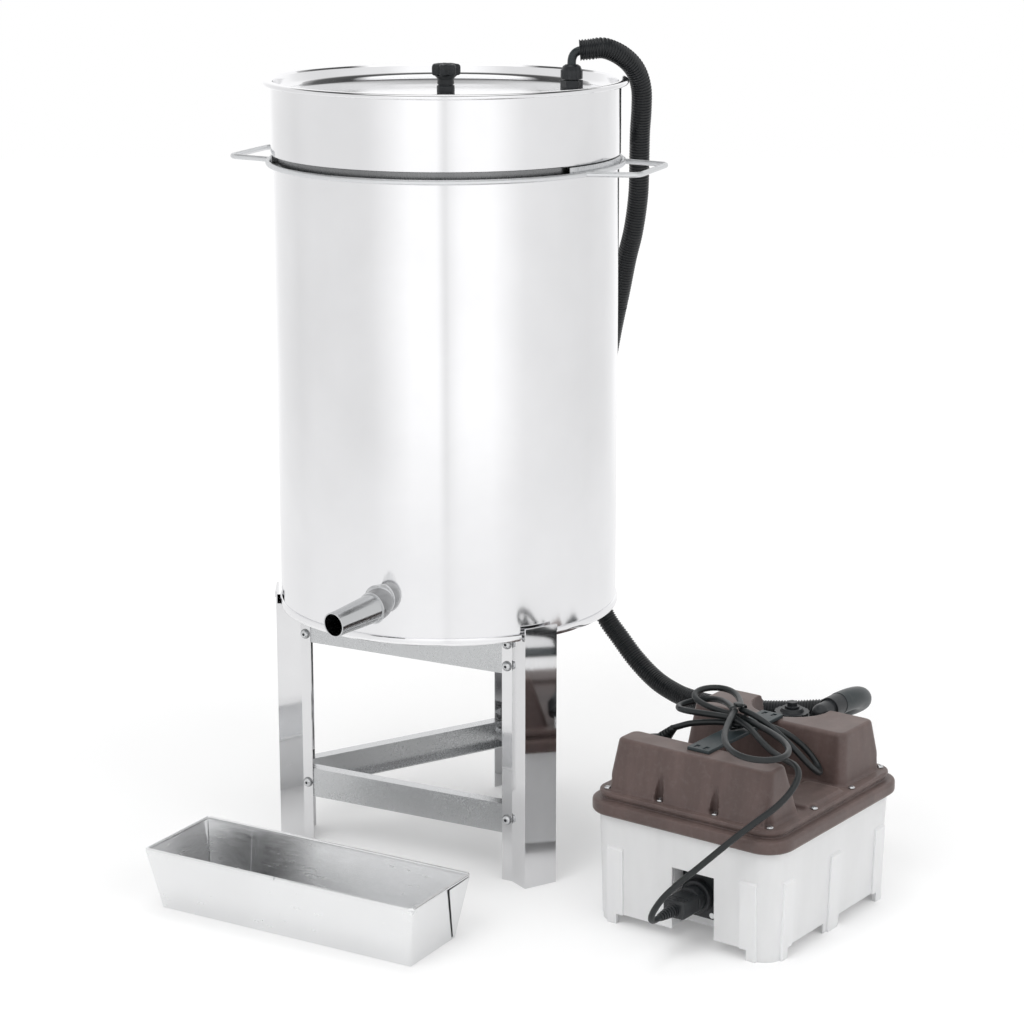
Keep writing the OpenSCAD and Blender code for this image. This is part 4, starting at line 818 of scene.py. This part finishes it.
class MELTER_OT_lead(Operator):
    """Makes the mains lead with its hank, tie, connector and plug"""

    bl_idname = "melter.lead"
    bl_label = "Mains lead"

    def execute(self, context):
        diameter = mm(context.scene.melter_sizes.lead_diameter)
        run = smooth_route(LEAD_RUN + [tuple(self.strand(0))], 5)
        tail = smooth_route([tuple(self.strand(4))] + LEAD_TAIL, 5)
        line = even([GENERATOR @ (p * MM) / MM for p in run + self.hank()[1:] + tail], 3)
        lead = tube("Mains_lead", line, [diameter / 2], 14)
        finish(lead, "Mains_lead", "Lead rubber", "stand", ["mains_lead"], 60)
        self.tie()
        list(self.connector())
        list(self.plug())
        return {"FINISHED"}

    def strand(self, k):
        """Where a strand of the lead passes through the tie."""
        heading = math.radians(BUNDLE_TURN + 90)
        across, up = STRANDS[k]
        return TIE + STRAND_PITCH * Vector((across * math.cos(heading), across * math.sin(heading), up))

    def hank(self):
        """The lead's lobes, one after the other."""
        made = []
        for heading, reach, wide, drop, first, last in LOBES:
            a = math.radians(heading)
            out, across = Vector((math.cos(a), math.sin(a), 0)), Vector((-math.sin(a), math.cos(a), 0))
            for k in range(LOBE_STEPS):
                t = k / LOBE_STEPS
                swing = math.sin(math.pi * t)
                made.append(self.strand(first).lerp(self.strand(last), t) + reach * swing * out
                    + wide * math.sin(2 * math.pi * t) * across - Vector((0, 0, drop * swing ** 2)))
        return made

    def tie(self):
        """The band round the strands with its buckle on top."""
        margin = 5.1
        low, high = TIE.z - STRAND_PITCH - margin, TIE.z + 1.17 * STRAND_PITCH + margin
        centre = (0, 0, (low + high) / 2)
        outer = bevel(block((8, 22.5, high - low), centre), 4, 4, 60)
        cut(outer, block((20, 19.5, high - low - 3), centre))
        buckle = bevel(block((10, 7, 3.2), (0, 0, high + 0.6)), 0.8)
        made = place(join("Lead_tie", outer, buckle), GENERATOR @ spot(TIE.x, TIE.y, 0, BUNDLE_TURN))
        return finish(made, "Lead_tie", "Lead rubber", "stand", ["lead_tie"])

    def connector(self):
        """The grooved connector on its round flange, and its ribbed relief."""
        socket = GENERATOR @ spot(*CONNECTOR_AT, 90, "X")
        shell = bevel(block((27, 20, 44), (0, 0, 37)), 3.2, 4)
        collar = bevel(rod(15, 13, (0, 0, 21.6), 64), 1.2, 3)
        flange = bevel(rod(18.6, 5.5, (0, 0, 12.4), 80), 1, 3)
        made = join("Connector_shell", shell, collar, flange)
        for z in (46, 50, 54):
            cut(made, *(block((40, 1.4, 1.6), (0, side * 10.2, z)) for side in (1, -1)))
        place(made, socket)
        finish(made, "Connector_shell", "Fitting plastic", "stand", ["lead_connector"])
        relief = place(self.relief(start=59, length=26, root=7.5, tip=4.5, ribs=6), socket)
        finish(relief, "Connector_relief", "Fitting plastic", "stand", ["connector_relief"])
        return [made, relief]

    def relief(self, start, length, root, tip, ribs):
        """A tapered relief whose rings stand between slots."""
        section = [(root - 0.6, start)]
        pitch = (length - 3) / ribs
        for k in range(ribs):
            z = start + 0.6 + pitch * k
            r = root + (tip - root) * k / ribs
            section += [(r, z), (r - 0.1, z + pitch * 0.58), (r - 1.5, z + pitch * 0.64),
                (r - 1.5, z + pitch * 0.96)]
        section += [(tip, start + length - 2), (tip - 0.4, start + length)]
        return turned(section, 40, close=False)

    def plug(self):
        """The plug's ribbed boot, its round body with two flat grips, and its pins."""
        aim = Vector((0, 0, 1)).rotation_difference(PLUG_AIM).to_matrix().to_4x4()
        socket = GENERATOR @ spot(*LEAD_TAIL[-1]) @ aim
        section = [(3.7, 0), (4.4, 0.8)]
        for k in range(5):
            z, r = 2 + 3.7 * k, 4.6 + 0.75 * k
            section += [(r, z), (r + 0.3, z + 2.2), (r - 0.9, z + 2.5), (r - 0.8, z + 3.5)]
        boot = place(turned(section + [(8.0, 20.7), (8.5, 21.7)], 40, close=False), socket)
        finish(boot, "Plug_boot", "Lead rubber", "stand", ["plug_boot"])
        face = turned([(8.0, 21.7), (8.6, 22.6), (11.2, 26), (15.4, 32.5), (17.6, 35.4), (18.4, 37.4),
            (18.5, 48), (18.1, 50.6), (17.0, 51.7)], 64, close=False)
        for turn in (0, 180):
            cut(face, place(block((5, 20, 12), (19.7, 0, 43.5)), spot(0, 0, 0, turn)))
        place(bevel(face, 0.5, 2, 40), socket)
        finish(face, "Plug_body", "Fitting plastic", "stand", ["plug_body"])
        pins = softened("plug_pins", 0.8, 3)
        finish(pins, "Plug_pins_piece", "Bolt steel", "stand", ["plug_pins"])
        return [boot, face, pins]


class MELTER_OT_drum(Operator):
    """Turns the drum with its rolled base seam and hemmed rim, and cuts the outlet"""

    bl_idname = "melter.drum"
    bl_label = "Drum"

    def execute(self, context):
        sizes = context.scene.melter_sizes
        r, h = mm(sizes.drum_radius), mm(sizes.drum_height)
        shell = turned([(r - 6, 0), (r + 0.6, 0), (r + 1.5, 0.5), (r + 1.95, 1.6), (r + 2, 3.2), (r + 2, 5.6),
            (r + 1.7, 7.2), (r + 0.9, 8.1), (r, 8.3), (r - 0.7, 8.6), (r - 0.7, 9.3), (r, 9.7), (r, 60),
            (r, 200), (r, 360), (r, h), (r - 2.4, h), (r - 2.4, h - 9), (r - 1.2, h - 9.6),
            (r - 1.2, 1.2), (r - 6, 1.2)], sizes.turned_sides)
        depth = math.sqrt(r * r - OUTLET_ACROSS ** 2)
        hole = place(rod(OUTLET_HOLE, 60, (0, 0, 0), 64), spot(OUTLET_ACROSS, -depth, OUTLET_HEIGHT, 95, "X"))
        place(cut(shell, hole), DRUM)
        finish(shell, "Drum_shell", "Polished sheet", "stand", ["drum_shell"], 28)
        return {"FINISHED"}


class MELTER_OT_basket(Operator):
    """Makes the basket's ring, flange and wire handles"""

    bl_idname = "melter.basket"
    bl_label = "Basket"

    def execute(self, context):
        sizes = context.scene.melter_sizes
        h, wire = mm(sizes.drum_height), mm(sizes.wire_diameter)
        ring_r, z = mm(sizes.drum_radius) + 2 + wire / 2, h + wire / 2
        rim = turned([(186, h), (ring_r - 1.6, h), (ring_r - 1.6, h + 1.5), (192.6, h + 1.5),
            (191.2, h + 2.4), (191.2, h + 12.6), (190.6, h + 13), (190, h + 12.6), (190, h + 2),
            (188.6, h + 1.5), (186, h + 1.5)], sizes.turned_sides)
        begin()
        bpy.ops.mesh.primitive_torus_add(major_radius=ring_r * MM, minor_radius=wire / 2 * MM,
            major_segments=sizes.turned_sides, minor_segments=20, location=(0, 0, z * MM))
        ring = settle()
        place(rim, DRUM)
        # The rim wears steel darkened as painted shade in the gap under the lid
        finish(rim, "Basket_rim", "Rim steel with painted shade", "basket", ["basket_rim"], 40)
        place(ring, DRUM)
        finish(ring, "Basket_ring", "Wire steel", "basket", ["basket_rim"], 60)
        root, far = math.sqrt(ring_r ** 2 - HANDLE_ROOT ** 2), ring_r + HANDLE_REACH
        route = [(root, -HANDLE_ROOT, z), (far, -HANDLE_GRIP, z), (far, HANDLE_GRIP, z),
            (root, HANDLE_ROOT, z)]
        for name, turn in (("right", HANDLE_TURN), ("left", HANDLE_TURN + 180)):
            handle = tube("Handle", even(bent(route, 10, 10), 3), [wire / 2], 20)
            place(handle, DRUM @ spot(0, 0, 0, turn))
            finish(handle, "Handle_" + name, "Wire steel", "basket", ["handle_" + name], 60)
        return {"FINISHED"}


class MELTER_OT_lid(Operator):
    """Turns the lid's side and its recessed panel with the rolled rim"""

    bl_idname = "melter.lid"
    bl_label = "Lid"

    def execute(self, context):
        sizes = context.scene.melter_sizes
        side, low = mm(sizes.drum_radius) + 1.75, mm(sizes.drum_height) + LID_GAP
        top = low + LID_SIDE
        skirt = turned([(187.5, low - 10), (188.7, low - 10), (188.7, low - 0.4), (side - 1.4, low - 0.2),
            (side - 0.4, low), (side, low + 0.6), (side, low + 40), (side, top - 1.3),
            (side - 1.2, top - 1.3), (side - 1.2, low + 1.2), (187.5, low + 1.2)], sizes.turned_sides)
        place(skirt, DRUM)
        finish(skirt, "Lid_side", "Lid sheet", "lid", ["lid_skirt"], 28)
        roll, panel = mm(sizes.rim_radius) - 3, top - PANEL_DEPTH
        rolled = [(roll + 3 * math.sin(a), top - 3 + 3 * math.cos(a))
            for a in (math.radians(22.5 * k) for k in range(13))]
        lid = turned([(3.25, panel), (60, panel), (120, panel), (186, panel), (190.5, panel + 0.8),
            (193, panel + 2.8), (194.4, panel + 6), (194.8, panel + 10.5), (195.6, panel + 13.6),
            (197.5, panel + 15.5), (200, top), *rolled, (roll - 2.9, top - 2.2), (roll - 4, top - 1.2),
            (197.8, top - 1.6), (196.6, top - 3.2), (196, top - 6), (195.6, panel + 6), (194.2, panel + 2),
            (191.5, panel - 0.4), (187, panel - 1.2), (3.25, panel - 1.2)], sizes.turned_sides)
        place(cut(lid, rod(8.2, 10, (*GLAND_AT, panel))), DRUM)
        finish(lid, "Lid_panel", "Lid sheet", "lid", ["lid_panel"], 28)
        self.knob(panel)
        return {"FINISHED"}

    def knob(self, panel):
        """The knob, with seven lobes, on its waisted stem."""
        begin()
        bpy.ops.mesh.primitive_circle_add(vertices=112, radius=15 * MM, location=(0, 0, (panel + 19) * MM))
        head = settle()
        edit(head)
        mesh = bmesh.from_edit_mesh(head.data)
        for vert in mesh.verts:
            a = math.atan2(vert.co.y, vert.co.x)
            r = (15 + 1.9 * math.cos(7 * a)) * MM
            vert.co.x, vert.co.y = r * math.cos(a), r * math.sin(a)
        bmesh.update_edit_mesh(head.data)
        bpy.ops.mesh.select_all(action="SELECT")
        bpy.ops.transform.resize(value=(0.88, 0.88, 1), center_override=(0, 0, 0))
        for rise, size in ((0.8, 1.09), (1.0, 1.04), (7.2, 1.0), (2.0, 0.975), (1.3, 0.9), (0.7, 0.72),
                (-0.6, 0.9)):
            bpy.ops.mesh.extrude_region_move(TRANSFORM_OT_translate={"value": (0, 0, rise * MM)})
            bpy.ops.transform.resize(value=(size, size, 1), center_override=(0, 0, 0))
        bpy.ops.mesh.select_all(action="SELECT")
        bpy.ops.mesh.fill_holes(sides=0)
        place(tidy(head), DRUM)
        finish(head, "Knob_head", "Knob plastic", "lid", ["knob_head"], 40)
        profile = [(3.1, 0), (9.8, 0), (10.2, 0.6), (10.1, 7), (9.5, 7.6), (8.6, 7.8), (8.6, 8.8), (9.4, 9),
            (9.6, 9.6), (9.3, 13.5), (9.8, 15.5), (11.6, 17.6), (13.4, 19), (3.1, 19)]
        stem = place(turned([(r, panel + z) for r, z in profile], 64), DRUM)
        finish(stem, "Knob_stem", "Knob plastic", "lid", ["knob_stem"])


class MELTER_OT_cover(Operator):
    """Models the generator's moulded cover: rim, two ridges, flutes and the hollow round the cap"""

    bl_idname = "melter.cover"
    bl_label = "Cover"

    def execute(self, context):
        cover = bevel(block((252, 278, 15), (0, 0, 134.5), 32, 12), 3, 3, 60)
        step = block((230, 256, 10), (0, 0, 143), 21, 12)
        top = bevel(block((236, 262, 6.4), (0, 0, 148.8), 24, 12), 1.6, 2, 60)
        pad = block((46, 74, 5), (86, -11, 153.4), 5)
        front, back = self.ridge((-124, -56), (-112, -76)), self.ridge((34, 125), (44, 113))
        cut(cover, step, top, front, back, pad, operation="UNION")
        cap_hollow, cap_hole = rod(46, 60, (-3, 104, 214), 96), rod(13, 60, (-3, 104, 170))
        inside = block((239, 265, 24), (0, 0, 127), 25, 8)
        flutes = [rod(6.8, 36, (u, v, 170), 32, 1.6) for u, v in self.screw_places()]
        cut(cover, cap_hollow, cap_hole, inside, *flutes)
        apply(cover, "REMESH", mode="VOXEL", voxel_size=context.scene.melter_sizes.cover_voxel, adaptivity=0)
        apply(cover, "SMOOTH", factor=0.5, iterations=2)
        apply(cover, "DECIMATE", ratio=0.55)
        place(cover, GENERATOR)
        finish(cover, "Tank_cover", "Cover plastic", "stand", ["tank_cover"], 60)
        return {"FINISHED"}

    def ridge(self, base, crest):
        """A ridge that narrows from its base to its crest, with rounded ends and top."""
        middle = (base[0] + base[1]) / 2
        made = block((210, base[1] - base[0], RIDGE_HIGH - RIDGE_LOW),
            (0, middle, (RIDGE_LOW + RIDGE_HIGH) / 2))
        edit(made)
        mesh = bmesh.from_edit_mesh(made.data)
        for vert in mesh.verts:
            if vert.co.z > (RIDGE_LOW + 10) * MM:
                vert.co.x = math.copysign(98 * MM, vert.co.x)
                vert.co.y = crest[0 if vert.co.y < middle * MM else 1] * MM
        bmesh.update_edit_mesh(made.data)
        pick(made, lambda e: steepness(e) > 0.5)
        bpy.ops.mesh.bevel(offset=9 * MM, segments=5)
        pick(made, lambda e: min(v.co.z for v in e.verts) > (RIDGE_HIGH - 1) * MM)
        bpy.ops.mesh.bevel(offset=3.4 * MM, segments=3)
        bpy.ops.object.mode_set(mode="OBJECT")
        return made

    def screw_places(self):
        """The screws along the long sides, then those at the ends."""
        rows = [(126 * k, s * 119) for s in (-1, 1) for k in (-0.825, -0.28, 0.28, 0.825)]
        return rows + [(s * 112, 139 * k) for s in (-1, 1) for k in (-0.29, 0.29)]


class MELTER_OT_fittings(Operator):
    """Softens the stand, pipe, gland, tank and fittings, and gives each its finish"""

    bl_idname = "melter.fittings"
    bl_label = "Fittings"

    def execute(self, context):
        edge = mm(context.scene.melter_sizes.sheet_edge)
        # nodes, finish, body, slot, edge rounding, segments
        plan = (
            (("leg_left", "leg_front", "leg_back"), "Leg sheet", "stand", "sheet_steel", edge, 3),
            (("upper_braces", "lower_braces"), "Brace sheet", "stand", "sheet_steel", edge, 2),
            (("brace_nuts",), "Bolt steel", "stand", "fastener_steel", 0.4, 2),
            (("outlet_stub",), "Pipe steel", "stand", "pipe_steel", 0, 1),
            (("outlet_elbow",), "Elbow steel", "stand", "pipe_steel", 0, 1),
            (("outlet_spout",), "Pipe steel", "stand", "pipe_steel", 0.4, 2),
            (("basket_shell", "handle_plates"), "Basket sheet", "basket", "basket_steel", 0, 1),
            (("gland_body",), "Gland plastic", "lid", "gland_plastic", 0.6, 2),
            (("gland_nut",), "Gland plastic", "lid", "gland_plastic", 0.3, 2),
            (("steam_tube",), "Hose rubber", "lid", "gland_plastic", 0, 1),
            (("water_tank",), "Milky tank", "stand", "tank_plastic", 1.2, 3),
            (("strap_handle",), "Strap plastic", "stand", "generator_black", 0.9, 3),
            (("filler_cap", "cap_valve"), "Fitting plastic", "cap", "generator_black", 0.5, 2),
            (("outlet_connector",), "Fitting plastic", "stand", "generator_black", 0.6, 2),
            (("inlet_housing",), "Fitting plastic", "stand", "generator_black", 1.2, 3),
        )
        for nodes, look, body, slot, width, segments in plan:
            for node in nodes:
                sliver = self.sliver() if node == "water_tank" else None
                piece = softened(node, width, segments, sliver)
                finish(piece, node.capitalize() + "_piece", look, body, [node])
                if width:
                    flattened(piece)
        plain = (
            ("Basket sheet", ("drum_floor", "basket_floor")),
            ("Bolt steel", ("knob_screw", "inlet_screws")),
            ("Gland plastic", ("gland_gasket", "gland_locknut")),
            ("Fitting plastic", ("tank_gasket", "strap_screws", "filler_neck")),
            ("Pipe steel", ("heating_element",)),
        )
        for look, nodes in plain:
            for node in nodes:
                wear(NODES[node], look)
        return {"FINISHED"}

    def sliver(self):
        """The narrow strip of foot beside the connector's recess, which is cut off the tank."""
        return place(block((6.4, 46, 13), (-14.6, -122, 5.55)), GENERATOR)


class MELTER_OT_screws(Operator):
    """Makes the stand's socket bolts and the cover's domed screws"""

    bl_idname = "melter.screws"
    bl_label = "Screws"

    def execute(self, context):
        # Heights are from the head's top; a bolt's reach past its head comes from its node
        places, tall = self.places("brace_bolts", False)
        bolt = turned([(2.45, -tall), (2.45, -3.5), (4.3, -3.5), (4.9, -3.1), (4.9, -2.1), (4.4, -1.1),
            (3.4, -0.4), (2.5, -0.2)], 40, close=False)
        cut(bolt, rod(1.9, 4, (0, 0, 0), 6))
        # A black disc at the bottom of each hex recess is painted shade: a dark piece where there is only
        # shade
        socket = rod(1.87, 0.4, (0, 0, -1.75), 6)
        washer = turned([(2.75, -4.5), (5.9, -4.5), (6.0, -4.2), (5.9, -3.65), (5.5, -3.5), (2.75, -3.5)], 48)
        self.repeat(bolt, places, "Brace_bolts", "Bolt steel", "brace_bolts")
        self.repeat(washer, places, "Brace_washers", "Elbow steel", "brace_washers")
        self.repeat(socket, places, "Bolt_socket_shades", "Fitting plastic", "brace_bolts")
        places, tall = self.places("cover_screws", True)
        screw = turned([(1.7, -tall), (1.7, -2.2), (3.5, -2.2), (3.9, -1.7), (3.7, -0.9), (2.9, -0.3),
            (1.6, -0.05)], 32, close=False)
        cut(screw, block((3.6, 0.8, 2), (0, 0, 0.3)), block((0.8, 3.6, 2), (0, 0, 0.3)))
        self.repeat(screw, places, "Cover_screws", "Bolt steel", "cover_screws")
        return {"FINISHED"}

    def places(self, node, upright):
        """For each screw of a node the frame at its head's top, looking outwards, and the length."""
        mesh = bmesh.new()
        mesh.from_mesh(NODES[node].data)
        bmesh.ops.remove_doubles(mesh, verts=mesh.verts, dist=0.00001)
        made, tall, seen = [], 0.0, set()
        for first in mesh.verts:
            if first in seen:
                continue
            seen.add(first)
            group = [first]
            for vert in group:
                for link in vert.link_edges:
                    other = link.other_vert(vert)
                    if other not in seen:
                        seen.add(other)
                        group.append(other)
            points = [v.co.copy() for v in group]
            axis = Vector((0, 0, 1)) if upright else self.lie(points)
            reach = [p.dot(axis) for p in points]
            across = [p - p.dot(axis) * axis for p in points]
            middle = Vector([(min(p[k] for p in across) + max(p[k] for p in across)) / 2 for k in range(3)])
            tall = (max(reach) - min(reach)) / MM
            made.append(Matrix.Translation(middle + max(reach) * axis)
                @ axis.to_track_quat("Z", "Y").to_matrix().to_4x4())
        mesh.free()
        return sorted(made, key=lambda m: tuple(round(c, 5) for c in m.translation)), tall

    def lie(self, points):
        """The level direction in which points lie, away from the drum's axis."""
        centre = sum(points, Vector()) / len(points)
        xx, yy, xy = (sum((p[i] - centre[i]) * (p[j] - centre[j]) for p in points)
            for i, j in ((0, 0), (1, 1), (0, 1)))
        turn = 0.5 * math.atan2(2 * xy, xx - yy)
        axis = Vector((math.cos(turn), math.sin(turn), 0))
        return axis if axis.dot(centre - DRUM.translation) > 0 else -axis

    def repeat(self, first, places, name, look, node):
        """Copies a screw, each copy with its own mesh and turn, and puts them in their places."""
        copies = [first, *(linked(name, first.data.copy()) for _ in places[1:])]
        for k, (copy, matrix) in enumerate(zip(copies, places)):
            place(copy, matrix @ Matrix.Rotation(0.9 * k, 4, "Z"))
        finish(join(name, *copies), name, look, "stand", [node])


class MELTER_OT_tin(Operator):
    """Folds the mould tin: leaning walls, folded flaps and the wired rim"""

    bl_idname = "melter.tin"
    bl_label = "Mould tin"

    def execute(self, context):
        (base_l, base_w), (top_l, top_w) = TIN_BASE, self.half(TIN_HEIGHT)
        begin()
        bpy.ops.mesh.primitive_plane_add(size=1, location=(0, 0, TIN_SHEET / 2 * MM))
        context.object.scale = (2 * base_l * MM, 2 * base_w * MM, 1)
        tin = settle()
        edit(tin)
        pick(tin, lambda e: True)
        bpy.ops.mesh.extrude_edges_move(TRANSFORM_OT_translate={"value": (0, 0, (TIN_HEIGHT - 0.2) * MM)})
        bpy.ops.transform.resize(value=(top_l / base_l, top_w / base_w, 1), center_override=(0, 0, 0))
        bpy.ops.object.mode_set(mode="OBJECT")
        apply(tin, "SOLIDIFY", thickness=TIN_SHEET * MM, offset=0)
        bevel(tin, 0.5, 2, 25)
        rim = self.rim()
        body = place(join("Tin_body", tin, self.flap(-1), self.flap(1), self.end_flap()), TIN)
        flattened(finish(body, "Tin_body", "Tinplate", "tin", ["tin_body"], 50))
        place(rim, TIN)
        finish(rim, "Tin_rim", "Tinplate", "tin", ["tin_rim"], 50)
        return {"FINISHED"}

    def half(self, height):
        """The tin's half length and half width at a height."""
        return [base + lean * height / TIN_HEIGHT for base, lean in zip(TIN_BASE, TIN_LEAN)]

    def flap(self, side):
        """A folded corner that lies on the long wall, inside, at the left end."""
        outline = []
        for from_end, height in ((1, 1.5), (56, 1.5), (62, 68), (1, 68)):
            half_l, half_w = self.half(height)
            outline.append((from_end - half_l, side * (half_w - 0.9), height))
        return self.sheet_piece(outline, 0.6)

    def end_flap(self):
        """A folded corner that lies on the right end, outside, with a slanting edge that stands off."""
        outline = []
        for across, height, off in ((0.99, 1.5, 0.65), (0.9, 1.5, 1.5), (0.24, 69.4, 2.1),
                (0.995, 69.4, 0.65)):
            half_l, half_w = self.half(height)
            outline.append((half_l + off, across * half_w, height))
        return self.sheet_piece(outline, 0.7)

    def sheet_piece(self, outline, thickness):
        """A flat piece of sheet with this outline."""
        made = from_faces("Flap", [Vector(p) * MM for p in outline], [(0, 1, 2, 3)])
        return tidy(apply(made, "SOLIDIFY", thickness=thickness * MM, offset=0))

    def rim(self):
        """The wire that the sheet is rolled round, with tight corners."""
        x, y, z = TIN_RIM
        route = [(0, -y, z), (x, -y, z), (x, y, z), (-x, y, z), (-x, -y, z), (-1, -y, z)]
        return tube("Rim", bent(route, 4, 6), [TIN_WIRE], 16)


class MELTER_PT_panel(Panel):
    """The melter's panel in the 3D view's sidebar"""

    bl_label = "Steam wax melter"
    bl_idname = "MELTER_PT_panel"
    bl_space_type = "VIEW_3D"
    bl_region_type = "UI"
    bl_category = "Wax melter"

    def draw(self, context):
        for heading, group in (("Sizes", "melter_sizes"), ("Colours", "melter_colours"),
                ("Studio", "melter_studio")):
            box = self.layout.box()
            box.label(text=heading)
            settings = getattr(context.scene, group)
            for name in settings.__annotations__:
                box.prop(settings, name)
        for step in STEPS:
            self.layout.operator(step.bl_idname)


STEPS = (MELTER_OT_studio, MELTER_OT_conduit, MELTER_OT_lead, MELTER_OT_drum, MELTER_OT_basket, MELTER_OT_lid,
    MELTER_OT_cover, MELTER_OT_fittings, MELTER_OT_screws, MELTER_OT_tin)
CLASSES = (MelterSizes, MelterColours, StudioSettings, *STEPS, MELTER_PT_panel)


def register():
    """Registers the classes and hangs the settings on the scene."""
    for item in CLASSES:
        bpy.utils.register_class(item)
    bpy.types.Scene.melter_sizes = PointerProperty(type=MelterSizes)
    bpy.types.Scene.melter_colours = PointerProperty(type=MelterColours)
    bpy.types.Scene.melter_studio = PointerProperty(type=StudioSettings)


def unregister():
    """Takes the settings and the classes away again."""
    del bpy.types.Scene.melter_studio
    del bpy.types.Scene.melter_colours
    del bpy.types.Scene.melter_sizes
    for item in reversed(CLASSES):
        bpy.utils.unregister_class(item)


def main():
    """Makes the whole melter in its studio."""
    register()
    bpy.ops.melter.studio()
    bpy.ops.melter.conduit()
    bpy.ops.melter.lead()
    bpy.ops.melter.drum()
    bpy.ops.melter.basket()
    bpy.ops.melter.lid()
    bpy.ops.melter.cover()
    bpy.ops.melter.fittings()
    bpy.ops.melter.screws()
    bpy.ops.melter.tin()


if __name__ == "__main__":
    main()
